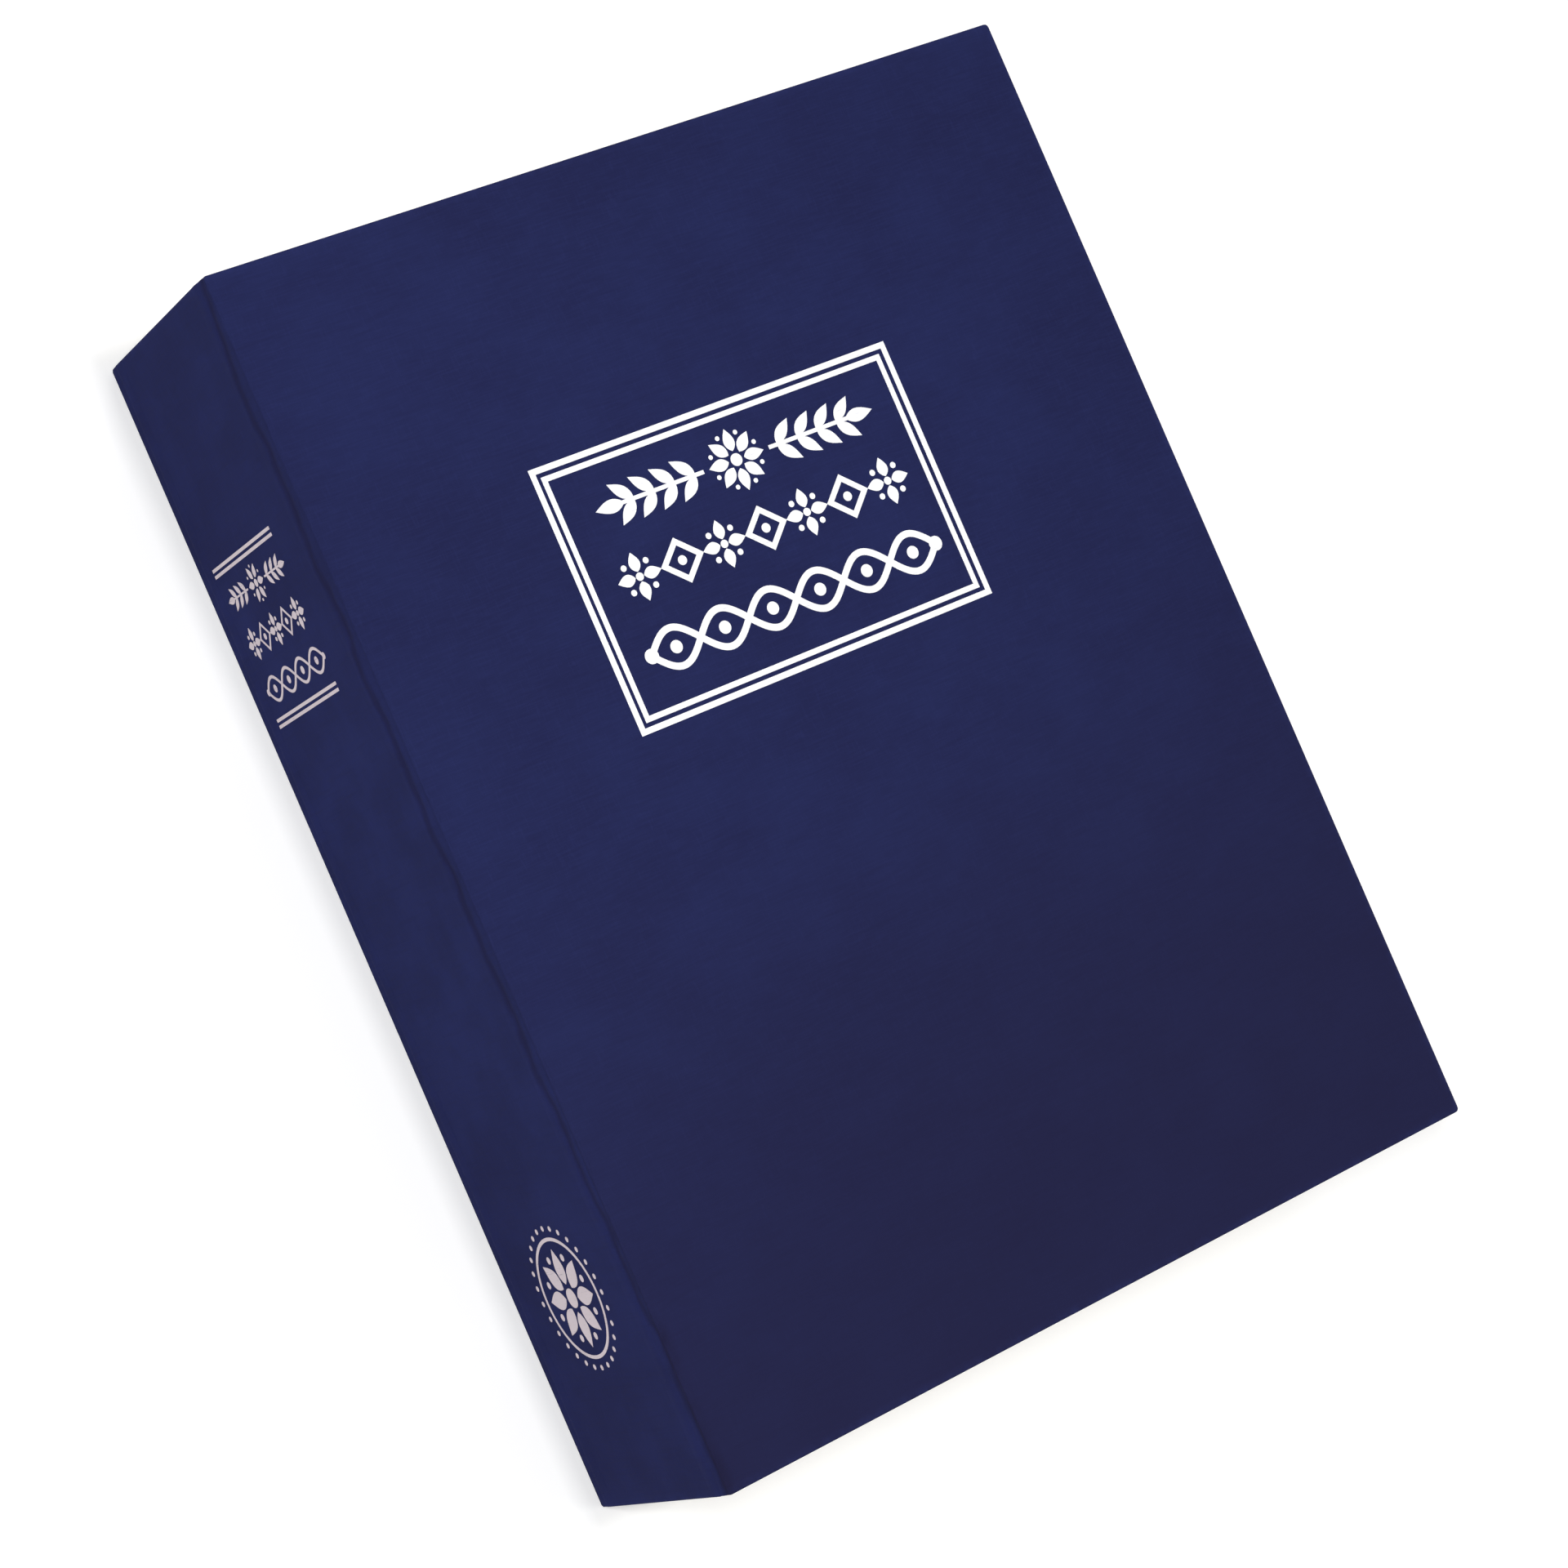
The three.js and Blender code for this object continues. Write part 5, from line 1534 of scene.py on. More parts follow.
@dataclass
class Binding:
    """Book case: covers and spine in cloth, the grooves beside the spine, and the foil print.

    Millimetres. Each of the strips' waves is a height, a turn in radians for a millimetre, and a start.
    """

    foil_thickness: float = 0.06
    frame_centre: Flat = (-4.6, 43.75)
    frame_half: Flat = (45.8, 29.75)
    frame_width: float = 1.3
    inner_frame_shift: float = 0.1
    inner_frame_half: Flat = (43.6, 27.5)
    inner_frame_width: float = 1.2
    rule_levels: tuple[float, ...] = (83.2, 81.8, 48.7, 47.3)
    rule_start: float = 8.5
    rule_end: float = 45.8
    rule_width: float = 0.72
    foot: Flat = (31.5, -86.5)
    foot_rosette: float = 11.0
    foot_loop: float = 13.2
    foot_loop_width: float = 0.8
    foot_ring: float = 15.6
    foot_dot: float = 0.62
    foot_dots: int = 28
    groove_depth: float = 0.13
    front_lip: float = 0.12
    back_lip: float = 0.04
    strip_thickness: float = 0.2
    strip_steps: int = 140
    strip_waves: tuple[Triple, ...] = ((0.04, 0.21, 0.0), (0.03, 0.067, 1.3), (0.01, 0.9, 0.0))
    strip_sideways: float = 0.6
    strip_smooth_angle: float = 70.0
    groove_shallow: float = 0.02
    spine_x: float = -100.0
    cover_x: float = -99.7
    spine_end: float = 60.9
    cover_end: float = 61.6
    strip_half: float = 132.3

    def build(self) -> None:
        """Dress the covers and make the strips and prints."""
        dress(COVER_CLOTH, "front_cover_cloth", "back_cover_cloth")
        dress(SPINE_CLOTH, "spine_cloth")
        dress(GREY_BOARD, "front_cover_board", "back_cover_board", "spine_board")
        dress(COVER_LINING, "front_cover_lining", "back_cover_lining")
        dress(SPINE_LINING, "spine_lining")
        self._front_joint()
        self._back_joint()
        self._cover_print()
        self._spine_print()

    def _groove(self, lip: float) -> list[Flat]:
        """Return a groove's outer line as X and Z, from the spine to the front cover.

        Args:
            lip: How far the cloth beside the groove stands proud of the spine, in millimetres.

        Returns:
            The line's points.
        """
        middle = (self.spine_end + self.cover_end) / 2.0
        shallow = self.groove_shallow
        # Each point's step in X from the face of the spine or cover, and in Z from its end.
        on_spine = (
            (-shallow, -3.6),
            (-0.5 * lip, -2.6),
            (-lip, -1.7),
            (-0.85 * lip, -0.9),
            (-0.1 * lip, -0.2),
        )
        on_cover = ((-0.14, 0.25), (-0.13, 0.9), (-0.08, 1.7), (-shallow, 2.5))
        return [
            *((self.spine_x + x, self.spine_end + z) for x, z in on_spine),
            (self.spine_x + 0.55 * self.groove_depth, middle - 0.12),
            (self.spine_x + self.groove_depth, middle + 0.1),
            *((self.cover_x + x, self.cover_end + z) for x, z in on_cover),
        ]

    def _strip(self, name: str, line: Sequence[Flat]) -> bpy.types.Object:
        """Make a strip of cloth that follows a line across and runs the height of the book.

        Args:
            name: Name of the strip.
            line: Its outer line as X and Z, in millimetres.

        Returns:
            The strip.
        """
        edit = bmesh.new()
        rows = []
        for step in range(self.strip_steps + 1):
            y = self.strip_half * (2.0 * step / self.strip_steps - 1.0)
            waver = sum(height * math.sin(y * turn + start) for height, turn, start in self.strip_waves)
            row = []
            for i, (x, z) in enumerate(line):
                free = waver * math.sin(math.pi * i / (len(line) - 1))
                place = (x + free * self.strip_sideways, y, z + free)
                row.append(edit.verts.new([part * MM for part in place]))
            rows.append(row)
        for here, there in zip(rows, rows[1:]):
            for i in range(len(line) - 1):
                edit.faces.new((here[i], here[i + 1], there[i + 1], there[i]))
        mesh = bpy.data.meshes.new(name)
        edit.to_mesh(mesh)
        edit.free()
        strip = keep_mesh(name, mesh)
        wall = strip.modifiers.new("wall", "SOLIDIFY")
        wall.thickness = self.strip_thickness * MM
        wall.offset = -1.0 if mesh.polygons[0].normal.x < 0 else 1.0
        strip = plain(strip)
        tidy_mesh(strip.data, self.strip_smooth_angle)
        return painted(strip, JOINT_CLOTH)

    def _front_joint(self) -> None:
        """Make the groove beside the front cover, and hide the solid that it stands for."""
        strip = self._strip("front_joint_groove", self._groove(self.front_lip))
        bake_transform(strip)
        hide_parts("front_joint_cloth")
        log.info("%s: %d faces, bends with the cover", strip.name, len(strip.data.polygons))

    def _back_joint(self) -> None:
        """Make the groove beside the back cover, the mirror of the front one."""
        low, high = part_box("spine_cloth")
        thickness = (low.z + high.z) / MM
        line = [(x, thickness - z) for x, z in reversed(self._groove(self.back_lip))]
        strip = self._strip("back_joint_groove", line)
        hand_over(strip, "case", ["back_joint_cloth"])

    def _cover_print(self) -> None:
        """Block the cover's double frame and its three rows of ornament."""
        foil = Ornament(COVER_FOIL, self.foil_thickness, COVER_PLAN.line)
        foil.frame(self.frame_centre, *self.frame_half, self.frame_width)
        inner_centre = (self.frame_centre[0] - self.inner_frame_shift, self.frame_centre[1])
        foil.frame(inner_centre, *self.inner_frame_half, self.inner_frame_width)
        COVER_PLAN.draw(foil)
        _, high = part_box("front_cover_cloth")
        hand_over(foil.done("cover_foil_print", Matrix.Translation((0.0, 0.0, high.z))), "front_cover")

    def _spine_print(self) -> None:
        """Block the spine's rules, its three rows of ornament and the rosette near its foot."""
        foil = Ornament(SPINE_FOIL, self.foil_thickness, SPINE_PLAN.line)
        for y in self.rule_levels:
            foil.rule((self.rule_start, y), (self.rule_end, y), self.rule_width)
        SPINE_PLAN.draw(foil)
        foil.rosette(self.foot, self.foot_rosette)
        foil.loop(self.foot, self.foot_loop, self.foot_loop_width)
        foil.ring_of_dots(self.foot, self.foot_ring, self.foot_dot, self.foot_dots)
        low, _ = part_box("spine_cloth")
        # The sheet's axes stand up the spine's thickness and along its height, and its front looks out.
        turn = Matrix(((0, 0, -1, low.x), (0, 1, 0, 0), (1, 0, 0, 0), (0, 0, 0, 1)))
        hand_over(foil.done("spine_foil_print", turn), "case")


@dataclass
class PageBlock:
    """Moulded page block, with the fine leaf edges that it shows on three sides."""

    leaves: int = 96
    rows_in_leaf: int = 4
    column_pitch: float = 9.0
    bulge: float = 0.16
    scatter: float = 0.12
    waver: float = 0.12
    tuck: float = 0.7
    wall: float = 0.5
    smooth_angle: float = 60.0
    seed: float = 17.0

    def build(self) -> None:
        """Dress the moulding and set the leaf edges against it."""
        dress(PAGES, "page_block")
        low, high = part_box("page_block")
        points, outwards = self._line(low, high)
        mesh = bpy.data.meshes.new("leaf_edges")
        mesh.from_pydata(points, [(i, i + 1) for i in range(len(points) - 1)], [])
        attribute = mesh.attributes.new("outward", "FLOAT_VECTOR", "POINT")
        attribute.data.foreach_set("vector", [value for direction in outwards for value in direction])
        sizes = {
            "Columns": len(points),
            "Leaves": self.leaves,
            "Rows in a leaf": self.rows_in_leaf,
            "Bottom": low.z,
            "Top": high.z,
            "Bulge": self.bulge * MM,
            "Scatter": self.scatter * MM,
            "Waver": self.waver * MM,
            "Tuck": self.tuck * MM,
            "Seed": self.seed,
        }
        skin = grown(keep_mesh("leaf_edges", mesh), Tree.LEAVES, PAGES, sizes)
        wall = skin.modifiers.new("wall", "SOLIDIFY")
        wall.thickness = self.wall * MM
        wall.offset = -1.0
        skin = plain(skin)
        tidy_mesh(skin.data, self.smooth_angle)
        hand_over(skin, "case")

    def _line(self, low: Vector, high: Vector) -> tuple[list[Triple], list[Triple]]:
        """Return the columns' places round three sides, and the way out from each.

        Args:
            low: Lowest corner of the block.
            high: Highest corner of the block.

        Returns:
            The places on the outer face at level 0, and the outward directions.
        """
        corners = [(low.x, low.y), (high.x, low.y), (high.x, high.y), (low.x, high.y)]
        ways = [(0.0, -1.0), (1.0, 0.0), (0.0, 1.0)]
        points: list[Triple] = []
        outwards: list[Triple] = []
        for side, way in enumerate(ways):
            start, end = Vector(corners[side]), Vector(corners[side + 1])
            count = max(2, round((end - start).length / (self.column_pitch * MM)))
            first = 1 if side else 0
            for i in range(first, count + 1):
                spot = start.lerp(end, i / count)
                following = ways[side + 1] if i == count and side + 1 < len(ways) else (0.0, 0.0)
                points.append((spot.x, spot.y, 0.0))
                outwards.append((way[0] + following[0], way[1] + following[1], 0.0))
        return points, outwards


@dataclass
class PianoHinge:
    """Piano hinge between the box and the lid, with rolled knuckles. Millimetres."""

    pin_radius: float = 1.0
    bore: float = 1.15
    radius: float = 1.95
    curl: float = 300.0
    gap: float = 0.4
    knuckles: int = 9
    length: float = 200.0
    head_radius: float = 1.7
    head_height: float = 0.7
    head_ease: float = 0.3
    standing_tail: float = 0.8
    standing_clear: float = 0.5
    level_tail: float = 1.5
    level_clear: float = 0.8
    knuckle_edge: float = 0.08
    plate_radius: float = 1.0
    plate_edge: float = 0.2
    steps: int = 28

    def build(self) -> None:
        """Make both leaves and the pin."""
        low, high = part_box("hinge_pin")
        self.axis = Vector(((low.x + high.x) / 2.0, 0.0, (low.z + high.z) / 2.0)) / MM
        self._leaf("hinge_leaf_box", "hinge_leaf_fixed", "case", 0, standing=True)
        self._leaf("hinge_leaf_lid", "hinge_leaf_moving", "lid", 1, standing=False)
        self._pin(high.y / MM)

    def _curl(self, run: float) -> list[Flat]:
        """Return a knuckle's outline, whose tail runs down along the second axis.

        Args:
            run: Length of the tail below the axis.

        Returns:
            The outline round the hinge axis.
        """
        turns = [math.radians(self.curl * i / self.steps) for i in range(self.steps + 1)]
        outer = [(self.radius * math.cos(a), self.radius * math.sin(a)) for a in turns]
        inner = [(self.bore * math.cos(a), self.bore * math.sin(a)) for a in reversed(turns)]
        return [(self.radius, -run), *outer, *inner, (self.bore, -run)]

    def _leaf(self, name: str, node: str, body: str, first: int, standing: bool) -> None:
        """Make one leaf: a plate and its row of knuckles.

        Args:
            name: Name of the piece.
            node: The solid that it stands for.
            body: The body that carries it.
            first: Number of its first knuckle.
            standing: True for the leaf that stands against the box.
        """
        low, high = (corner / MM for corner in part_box(node))
        pitch = self.length / self.knuckles
        count = len(range(first, self.knuckles, 2))
        turn = Matrix.Rotation(math.radians(90.0), 4, "X")
        if standing:
            run = self.radius + self.standing_tail
            plate_low = Vector((self.axis.x + self.bore, low.y, low.z))
            plate_top = self.axis.z - self.radius - self.standing_clear
            plate_high = Vector((self.axis.x + self.radius, high.y, plate_top))
        else:
            run = self.radius + self.level_tail
            turn = turn @ Matrix.Rotation(math.radians(90.0), 4, "Z")
            plate_low = Vector((self.axis.x + self.radius + self.level_clear, low.y, low.z))
            plate_high = Vector((high.x, high.y, self.axis.z - self.bore))
        outline = self._curl(run)
        if not standing:
            outline = [(-x, y) for x, y in outline][::-1]
        knuckle = extruded("knuckle", [outline], 0.0, pitch - self.gap, self.knuckle_edge, steps=1)
        knuckle.data.transform(turn)
        along = -self.length / 2.0 + first * pitch + pitch - self.gap / 2.0
        place = Vector((self.axis.x, along, self.axis.z))
        sizes = {
            "Count": count,
            "First place": tuple(place * MM),
            "Step": (0.0, 2.0 * pitch * MM, 0.0),
        }
        row = grown(knuckle, Tree.ROW, BLACK_COAT, sizes)
        plate = self._plate(plate_low, plate_high, standing)
        leaf = painted(gathered(name, [row, plate]), BLACK_COAT)
        hand_over(leaf, body, [node])

    def _plate(self, low: Vector, high: Vector, standing: bool) -> bpy.types.Object:
        """Make a leaf's plate with eased edges.

        Args:
            low: Its lowest corner.
            high: Its highest corner.
            standing: True where it stands rather than lies.

        Returns:
            The plate.
        """
        middle, half = (low + high) / 2.0, (high - low) / 2.0
        across = half.z if standing else half.x
        outline = rounded(across, half.y, self.plate_radius, steps=5)
        thickness = half.x if standing else half.z
        plate = extruded("plate", [outline], -thickness, thickness, self.plate_edge, steps=1)
        if standing:
            plate.data.transform(Matrix.Rotation(math.radians(-90.0), 4, "Y"))
        plate.data.transform(Matrix.Translation(middle * MM))
        return plate

    def _pin(self, end: float) -> None:
        """Make the pin with a peened head at each end.

        Args:
            end: Where it ends, at the head of the book.
        """
        under_head = -end + self.head_height
        profile = [
            (0.0, -end),
            (self.head_radius - self.head_ease, -end),
            (self.head_radius, -end + self.head_ease),
            (self.head_radius, under_head),
            (self.pin_radius, under_head),
        ]
        profile += [(radius, -height) for radius, height in reversed(profile)]
        pin = lathed("hinge_pin_turned", profile)
        pin.data.transform(
            Matrix.Translation(self.axis * MM) @ Matrix.Rotation(math.radians(-90.0), 4, "X")
        )
        hand_over(painted(pin, ZINC), "case", ["hinge_pin"])


@dataclass
class Rivets:
    """Domed rivets that hold the hinge leaves. Millimetres."""

    head_radius: float = 2.3
    head_height: float = 0.8
    tail_radius: float = 1.9
    tail_height: float = 0.6
    tail_ease: float = 0.25
    shank_radius: float = 1.2
    dome_steps: int = 7

    def build(self) -> None:
        """Make the row in the box and the row in the lid."""
        self._row("box_rivets", "case", [f"box_rivet_{i}" for i in range(1, 5)], "X")
        self._row("lid_rivets", "lid", [f"lid_rivet_{i}" for i in range(1, 5)], "Z")

    def _row(self, name: str, body: str, nodes: Sequence[str], axis: str) -> None:
        """Make one row of rivets.

        Args:
            name: Name of the row.
            body: The body that carries it.
            nodes: The solids that it stands for.
            axis: The axis that the rivets stand on.
        """
        low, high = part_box(nodes[0])
        reach = (high.z - low.z if axis == "Z" else high.x - low.x) / MM
        rivet = lathed("rivet", self._profile(reach))
        if axis == "X":
            rivet.data.transform(Matrix.Rotation(math.radians(-90.0), 4, "Y"))
        first, second = middle_of(nodes[0]), middle_of(nodes[1])
        sizes = {"Count": len(nodes), "First place": tuple(first), "Step": tuple(second - first)}
        row = grown(rivet, Tree.ROW, ZINC, sizes)
        row.name = name
        hand_over(row, body, nodes)

    def _profile(self, reach: float) -> list[Flat]:
        """Return a rivet's outline, centred on its whole length.

        Args:
            reach: The rivet's whole length.

        Returns:
            Radius and height of each point.
        """
        top, bottom = reach / 2.0, -reach / 2.0
        under_head = top - self.head_height
        above_tail = bottom + self.tail_height
        turns = [math.pi / 2.0 * i / self.dome_steps for i in range(self.dome_steps)]
        radius, height = self.head_radius, self.head_height
        dome = [(radius * math.cos(a), under_head + height * math.sin(a)) for a in turns]
        return [
            (0.0, bottom),
            (self.tail_radius - self.tail_ease, bottom),
            (self.tail_radius, bottom + self.tail_ease),
            (self.tail_radius, above_tail),
            (self.shank_radius, above_tail),
            (self.shank_radius, under_head),
            *dome,
            (0.0, top),
        ]


@dataclass
class CashBox:
    """Steel box and lid pan in powder coat, with their hinge, rivets and strike."""

    hinge: PianoHinge = field(default_factory=PianoHinge)
    rivets: Rivets = field(default_factory=Rivets)

    def build(self) -> None:
        """Dress the sheet metal and make the hinge and the rivets."""
        dress(BLACK_COAT, "box_shell", "lid_pan")
        dress(ZINC, "latch_strike")
        self.hinge.build()
        self.rivets.build()


@dataclass
class CombinationLock:
    """Three-wheel combination lock in the lid. Millimetres.

    The screws' crown is a share of the head's radius and a depth from its top for each point.
    """

    plate_radius: float = 4.0
    plate_thickness: float = 1.15
    plate_edge: float = 0.3
    lower_edge: float = 0.05
    tray_depth: float = 0.6
    tray_half_width: float = 5.6
    tray_radius: float = 1.2
    button_travel: float = 4.0
    button_gap: float = 0.4
    stem_slot_half: Flat = (1.8, 4.2)
    stem_slot_radius: float = 0.6
    window_half: Flat = (6.16, 3.4)
    window_radius: float = 0.5
    pointer_thickness: float = 0.04
    pointer_gap: float = 0.5
    pointer_length: float = 1.7
    pointer_half: float = 0.85
    wheel_pitch: float = 9.0
    wheel_radius: float = 8.0
    wheel_width: float = 6.0
    wheel_hole: float = 6.1
    wheel_edge: float = 0.22
    rim_steps: int = 6
    scallop_depth: float = 0.7
    scallop_half_angle: float = 7.0
    scallop_fullness: float = 0.8
    digit_count: int = 10
    digit_height: float = 3.3
    digit_height_in_font: float = 0.7
    digit_proud: float = 0.04
    digit_boldness: float = 0.09
    screw_head: float = 2.2
    screw_head_height: float = 1.2
    screw_shank: float = 1.05
    screw_crown: tuple[Flat, ...] = ((0.55, 0.02), (0.82, 0.16), (0.96, 0.42), (1.0, 0.7))
    recess_reach: float = 0.55
    recess_width: float = 0.55
    recess_depth: float = 0.6
    recess_radius: float = 0.1
    recess_edge: float = 0.02
    font_steps: int = 3
    spring_wire: float = 0.22
    spring_turns: float = 2.25
    spring_steps: int = 24
    spring_sides: int = 10
    spring_keep: float = 0.34

    def build(self) -> None:
        """Make the lock's plate, wheels, digits and screws, and dress the rest."""
        low, high = (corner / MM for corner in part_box("number_wheel_2"))
        self.centre = (low + high) / 2.0
        dress(BLACK_PLASTIC, "lock_housing", "reset_lever")
        dress(ZINC, "lock_back_plate", "lock_spindle")
        dress(CAST, "latch_slider", "code_sleeve_1", "code_sleeve_2", "code_sleeve_3")
        dress(SPRING, "detent_spring")
        dress(CHROME, "thumb_button")
        self._face_plate()
        self._index_marks()
        for number in (1, 2, 3):
            self._wheel(number)
        self._screws()
        self._return_spring()

    def _face_plate(self) -> None:
        """Make the face plate in two layers, so that the button's tray is sunk in it."""
        low, high = (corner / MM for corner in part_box("lock_face_plate"))
        button_low, button_high = (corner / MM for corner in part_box("thumb_button"))
        middle, half = (low + high) / 2.0, (high - low) / 2.0
        top = high.z
        tray = top - self.tray_depth
        under = top - self.plate_thickness
        outer = rounded(half.x, half.y, self.plate_radius, (middle.x, middle.y), steps=10)
        windows = []
        for i in (-1, 0, 1):
            window_middle = (self.centre.x, self.centre.y + i * self.wheel_pitch)
            window = rounded(*self.window_half, self.window_radius, window_middle, steps=4)
            windows.append(window[::-1])
        tray_low = button_low.y - self.button_travel - self.button_gap
        tray_high = button_high.y + self.button_gap
        tray_middle = (self.centre.x, (tray_low + tray_high) / 2.0)
        tray_half = (tray_high - tray_low) / 2.0
        recess = rounded(self.tray_half_width, tray_half, self.tray_radius, tray_middle, steps=6)
        stem_middle = (self.centre.x, (button_low.y + button_high.y - self.button_travel) / 2.0)
        slot = rounded(*self.stem_slot_half, self.stem_slot_radius, stem_middle, steps=4)
        upper_holes, lower_holes = [*windows, recess[::-1]], [*windows, slot[::-1]]
        upper = extruded("upper", [outer, *upper_holes], tray, top, self.plate_edge / 2.0)
        lower = extruded("lower", [outer, *lower_holes], under, tray, self.lower_edge, steps=1)
        plate = painted(gathered("lock_face_plate_cast", [upper, lower]), CHROME)
        hand_over(plate, "lid", ["lock_face_plate"])

    def _index_marks(self) -> None:
        """Set a painted pointer on both sides of each window."""
        _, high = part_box("lock_face_plate")
        first = Vector((self.centre.x, -self.wheel_pitch, high.z / MM)) * MM
        sizes = {"Count": 3, "First place": tuple(first), "Step": (0.0, self.wheel_pitch * MM, 0.0)}
        marks = []
        for side in (-1, 1):
            pointer = FlatWork(self.pointer_thickness)
            tip = side * (self.window_half[0] + self.pointer_gap)
            tail = tip + side * self.pointer_length
            outline = [(tip, 0.0), (tail, self.pointer_half), (tail, -self.pointer_half)]
            pointer.shape(outline[::side])
            marks.append(grown(pointer.done("pointer"), Tree.ROW, INDEX_PAINT, sizes))
        hand_over(painted(gathered("index_marks", marks), INDEX_PAINT), "lid")

    def _rim(self) -> list[Flat]:
        """Return a wheel's outline: a round land for each digit, and a hollow between lands.

        Returns:
            The outline, in order.
        """
        step = 360.0 / self.digit_count
        hollow = self.scallop_half_angle
        radius, steps = self.wheel_radius, self.rim_steps
        outline = []
        for i in range(self.digit_count):
            middle = 90.0 + i * step
            for k in range(steps + 1):
                angle = math.radians(middle - step / 2 + hollow + (step - 2 * hollow) * k / steps)
                outline.append((radius * math.cos(angle), radius * math.sin(angle)))
            for k in range(1, steps):
                share = k / steps
                angle = math.radians(middle + step / 2 - hollow + 2 * hollow * share)
                depth = self.scallop_depth * math.sin(math.pi * share) ** self.scallop_fullness
                reach = radius - depth
                outline.append((reach * math.cos(angle), reach * math.sin(angle)))
        return outline

    def _wheel(self, number: int) -> None:
        """Make a number wheel and its digits.

        Args:
            number: Which wheel, from 1 at the tail side.
        """
        node = f"number_wheel_{number}"
        body = f"dial_{number}"
        middle = middle_of(node) / MM
        hole = circle((0.0, 0.0), self.wheel_hole, steps=48)[::-1]
        half = self.wheel_width / 2.0
        wheel = extruded(f"{node}_moulded", [self._rim(), hole], -half, half, self.wheel_edge)
        wheel.data.transform(
            Matrix.Translation(middle * MM) @ Matrix.Rotation(math.radians(90.0), 4, "X")
        )
        hand_over(painted(wheel, BLACK_PLASTIC), body, [node])
        digits = gathered(f"digits_{number}", [self._digit(k, middle) for k in range(self.digit_count)])
        hand_over(painted(digits, WHITE_PAINT), body)

    def _digit(self, value: int, middle: Vector) -> bpy.types.Object:
        """Make one digit, bent round the wheel on its land.

        Args:
            value: The digit.
            middle: The wheel's middle.

        Returns:
            The digit as a plain mesh in its place.
        """
        text = bpy.data.curves.new("digit", "FONT")
        text.body = str(value)
        text.size = self.digit_height / self.digit_height_in_font
        text.align_x = "CENTER"
        text.align_y = "CENTER"
        text.extrude = self.digit_proud
        text.offset = self.digit_boldness
        text.resolution_u = self.font_steps
        made = bpy.data.objects.new("digit", text)
        bpy.context.scene.collection.objects.link(made)
        digit = plain(made)
        tidy_mesh(digit.data)
        edit = bmesh.new()
        edit.from_mesh(digit.data)
        low = min(v.co.y for v in edit.verts)
        high = max(v.co.y for v in edit.verts)
        bmesh.ops.triangulate(edit, faces=edit.faces)
        turn = FULL_TURN * value / self.digit_count
        for vertex in edit.verts:
            along = vertex.co.y - (low + high) / 2.0
            angle = turn + along / self.wheel_radius
            reach = self.wheel_radius + vertex.co.z
            x = middle.x - reach * math.sin(angle)
            z = middle.z + reach * math.cos(angle)
            vertex.co = Vector((x, middle.y + vertex.co.x, z)) * MM
        edit.to_mesh(digit.data)
        edit.free()
        return digit

    def _screws(self) -> None:
        """Make the four screws, each with a cross recess in its head."""
        nodes = [f"lock_screw_{i}" for i in range(1, 5)]
        low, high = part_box(nodes[0])
        reach = (high.z - low.z) / MM
        head = self.screw_head
        profile = [
            (0.0, 0.0),
            *((head * share, depth) for share, depth in self.screw_crown),
            (head, self.screw_head_height),
            (self.screw_shank, self.screw_head_height),
            (self.screw_shank, reach - self.screw_shank),
            (0.0, reach),
        ]
        screw = lathed("screw", profile)
        reach_half, width_half = head * self.recess_reach, self.recess_width / 2.0
        outline = rounded(reach_half, width_half, self.recess_radius, steps=3)
        # The bar starts above the head, so that the recess is open.
        above = -1.0
        for turn in (0.0, 90.0):
            bar = extruded("bar", [outline], above, self.recess_depth, self.recess_edge, steps=1)
            bar.data.transform(Matrix.Rotation(math.radians(turn), 4, "Z"))
            cut = screw.modifiers.new("recess", "BOOLEAN")
            cut.operation = "DIFFERENCE"
            cut.solver = "EXACT"
            cut.object = bar
            screw = plain(screw)
            bpy.data.objects.remove(bar)
        places = [middle_of(node) for node in nodes]
        base = Vector((0.0, 0.0, low.z - middle_of(nodes[0]).z))
        rows = []
        for start, after in ((0, 2), (1, 3)):
            copy = keep_mesh("screw", screw.data.copy())
            sizes = {
                "Count": 2,
                "First place": tuple(places[start] + base),
                "Step": tuple(places[after] - places[start]),
            }
            rows.append(grown(copy, Tree.ROW, ZINC, sizes))
        bpy.data.objects.remove(screw)
        screws = gathered("lock_screws", rows)
        tidy_mesh(painted(screws, ZINC).data)
        hand_over(screws, "lid", nodes)

    def _return_spring(self) -> None:
        """Wind the spring that pushes the code sleeves back.
        """
        node = "sleeve_return_spring"
        low, high = (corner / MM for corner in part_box(node))
        wire, sides = self.spring_wire, self.spring_sides
        section = bpy.data.meshes.new("return_spring_coil")
        ring = [(x, y, 0.0) for x, y in circle((0.0, 0.0), wire * MM, sides)]
        section.from_pydata(ring, [(i, (i + 1) % sides) for i in range(sides)], [])
        sizes = {
            "Turns": self.spring_turns,
            "Steps": self.spring_steps,
            "Radius": ((high.x - low.x) / 2.0 - wire) * MM,
            "Height": (high.y - low.y - 2.0 * wire) * MM,
        }
        coil = grown(keep_mesh("return_spring_coil", section), Tree.COIL, SPRING, sizes)
        tidy_mesh(coil.data)
        start = Vector((self.centre.x, low.y + wire, self.centre.z)) * MM
        coil.data.transform(Matrix.Translation(start) @ Matrix.Rotation(math.radians(-90.0), 4, "X"))
        hand_over(coil, "lid", [node])
        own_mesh(coil)


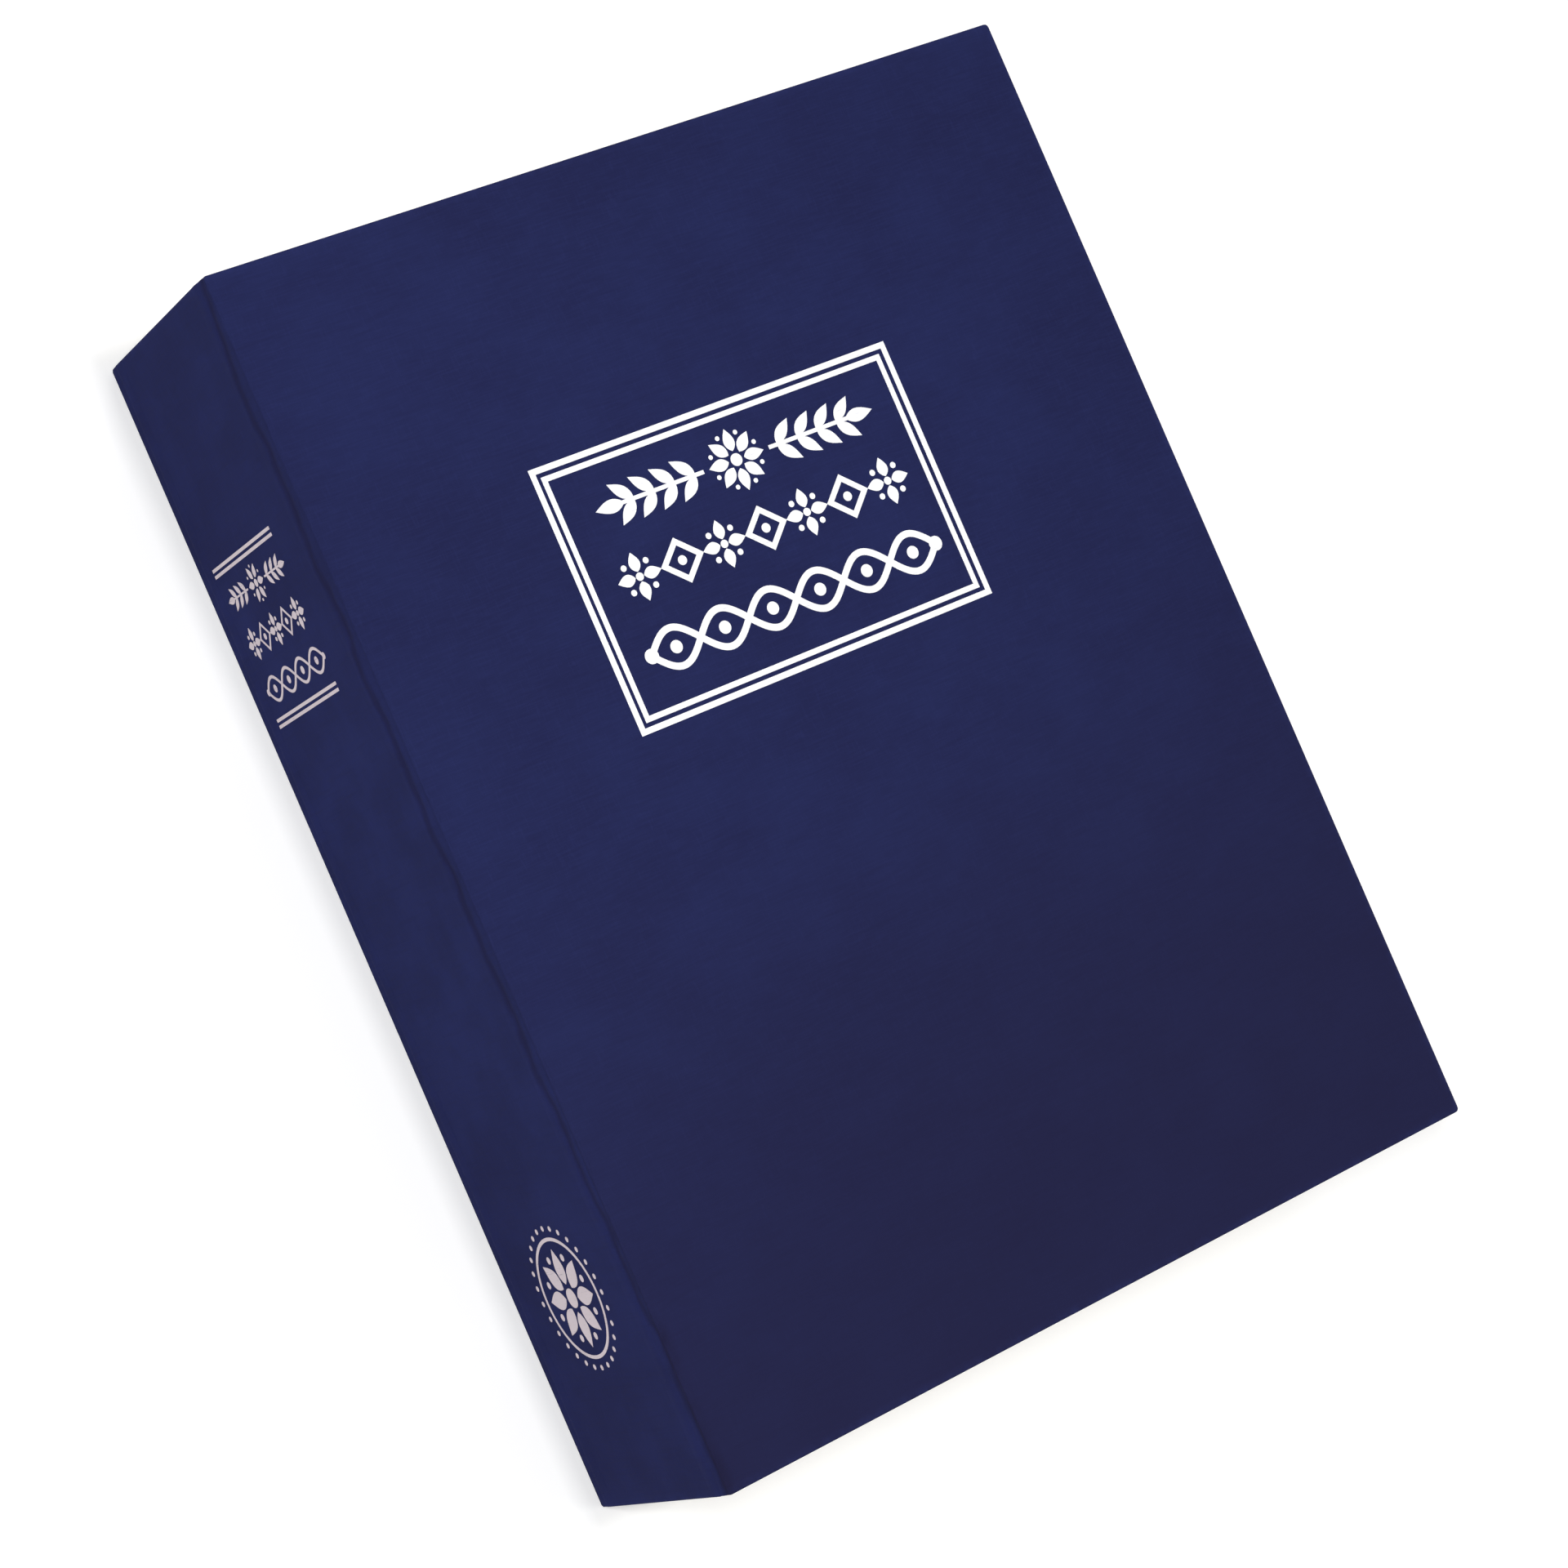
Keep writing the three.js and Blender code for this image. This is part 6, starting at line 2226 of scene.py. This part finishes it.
@dataclass(frozen=True)
class Softbox:
    """Square lamp that faces the book. Metres.

    Attributes:
        name: Its name.
        place: Where it hangs.
        size: Its width.
        power: Its power in watts.
        colour: Its colour.
    """

    name: str
    place: Triple
    size: float
    power: float
    colour: Triple = (1.0, 0.995, 0.99)

    def hang(self) -> None:
        """Put the lamp in the scene."""
        data = bpy.data.lights.new(self.name, "AREA")
        data.shape = "SQUARE"
        data.size = self.size
        data.energy = self.power
        data.color = self.colour
        lamp = bpy.data.objects.new(self.name, data)
        bpy.context.scene.collection.objects.link(lamp)
        lamp.location = self.place
        lamp.rotation_mode = "QUATERNION"
        lamp.rotation_quaternion = Vector(self.place).to_track_quat("Z", "Y")
        lamp.visible_camera = False


@dataclass
class Studio:
    """Camera, floor, world and lamps.

    The camera's place, lens and sensor and the floor's drop are in millimetres, the rest is in metres.
    """

    lens: float = 90.64
    sensor: float = 36.0
    eye: Triple = (-415.71, -14.72, 788.93)
    right: Triple = (0.80923, -0.39734, 0.43275)
    up: Triple = (0.34512, 0.91761, 0.19716)
    floor_half: float = 12.0
    floor_drop: float = 0.05
    floor_colour: Colour = (0.8, 0.8, 0.8, 1.0)
    floor_glow: float = 0.292
    glow_near: float = 0.55
    glow_far: float = 1.1
    ambient: float = 0.33
    lamps: tuple[Softbox, ...] = (
        Softbox("key_softbox", (0.0, -0.01, 1.8), 0.14, 7.2),
        Softbox("front_softbox", (-0.40, 0.02, 0.82), 0.11, 3.3, (1.0, 0.998, 0.995)),
        Softbox("spine_softbox", (-0.9, 0.0, 0.2), 0.35, 1.07, (0.96, 0.98, 1.0)),
        Softbox("fore_softbox", (0.95, -0.55, 0.3), 0.5, 3.8),
        Softbox("head_softbox", (0.3, 1.0, 0.35), 0.5, 1.9),
    )

    def build(self) -> None:
        """Set the stage."""
        scene = bpy.context.scene
        scene.view_settings.view_transform = "Standard"
        self._camera(scene)
        self._floor()
        self._world(scene)
        for lamp in self.lamps:
            lamp.hang()

    def _camera(self, scene: bpy.types.Scene) -> None:
        """Stand the camera where the photograph was taken from.

        Args:
            scene: The scene.
        """
        data = bpy.data.cameras.new("camera")
        data.lens = self.lens
        data.sensor_width = self.sensor
        data.clip_start = 0.01
        data.clip_end = 100.0
        camera = bpy.data.objects.new("camera", data)
        scene.collection.objects.link(camera)
        right, up = Vector(self.right).normalized(), Vector(self.up)
        back = right.cross(up).normalized()
        up = back.cross(right)
        turn = Matrix((right, up, back)).transposed().to_4x4()
        camera.matrix_world = Matrix.Translation(Vector(self.eye) * MM) @ turn
        scene.camera = camera

    @staticmethod
    def _seen(make: Nodes) -> bpy.types.NodeSocket:
        """Tell where a surface is looked at or mirrored, rather than only gives light.

        Args:
            make: The tree under construction.

        Returns:
            1 where it is looked at or mirrored, and 0 elsewhere.
        """
        path = make.add("ShaderNodeLightPath").outputs
        mirrored = make.maths("MAXIMUM", path["Is Glossy Ray"], path["Is Transmission Ray"])
        return make.maths("MAXIMUM", path["Is Camera Ray"], mirrored)

    def _floor(self) -> None:
        """Lay a plain pale floor that shows white and keeps the book's shadow."""
        half = self.floor_half
        mesh = bpy.data.meshes.new("floor")
        level = -self.floor_drop * MM
        mesh.from_pydata(
            [(-half, -half, level), (half, -half, level), (half, half, level), (-half, half, level)],
            [],
            [(0, 1, 2, 3)],
        )
        floor = keep_mesh("floor", mesh)
        material = bpy.data.materials.new("floor")
        material.use_nodes = True
        material.node_tree.nodes.clear()
        make = Nodes(material.node_tree)
        matt = make.add("ShaderNodeBsdfDiffuse", {"Color": self.floor_colour})
        place = make.add("ShaderNodeTexCoord").outputs["Object"]
        away = make.add("ShaderNodeVectorMath", {0: place}, operation="LENGTH").outputs["Value"]
        rising = make.add(
            "ShaderNodeMapRange",
            {
                "Value": away,
                "From Min": self.glow_near,
                "From Max": self.glow_far,
                "To Min": self.floor_glow,
                "To Max": 1.0,
            },
        )
        glow = make.maths("MULTIPLY", self._seen(make), rising.outputs["Result"])
        light = make.add("ShaderNodeEmission", {"Color": WHITE, "Strength": glow})
        both = make.add("ShaderNodeAddShader", {0: matt.outputs[0], 1: light.outputs[0]})
        make.add("ShaderNodeOutputMaterial", {"Surface": both.outputs[0]})
        mesh.materials.append(material)

    def _world(self, scene: bpy.types.Scene) -> None:
        """Surround the book with white that gives only a little light.

        Args:
            scene: The scene.
        """
        world = bpy.data.worlds.new("studio")
        world.use_nodes = True
        world.node_tree.nodes.clear()
        make = Nodes(world.node_tree)
        dim = make.add("ShaderNodeBackground", {"Color": WHITE, "Strength": self.ambient})
        white = make.add("ShaderNodeBackground", {"Color": WHITE, "Strength": 1.0})
        parts = {0: self._seen(make), 1: dim.outputs[0], 2: white.outputs[0]}
        both = make.add("ShaderNodeMixShader", parts)
        make.add("ShaderNodeOutputWorld", {"Surface": both.outputs[0]})
        scene.world = world


def main() -> None:
    """Build the scene, one sub-assembly after another."""
    logging.basicConfig(level=logging.INFO, format="%(name)s: %(message)s")
    for assembly in (Studio(), Binding(), PageBlock(), CashBox(), CombinationLock()):
        log.info("building %s", type(assembly).__name__)
        assembly.build()


if __name__ == "__main__":
    main()
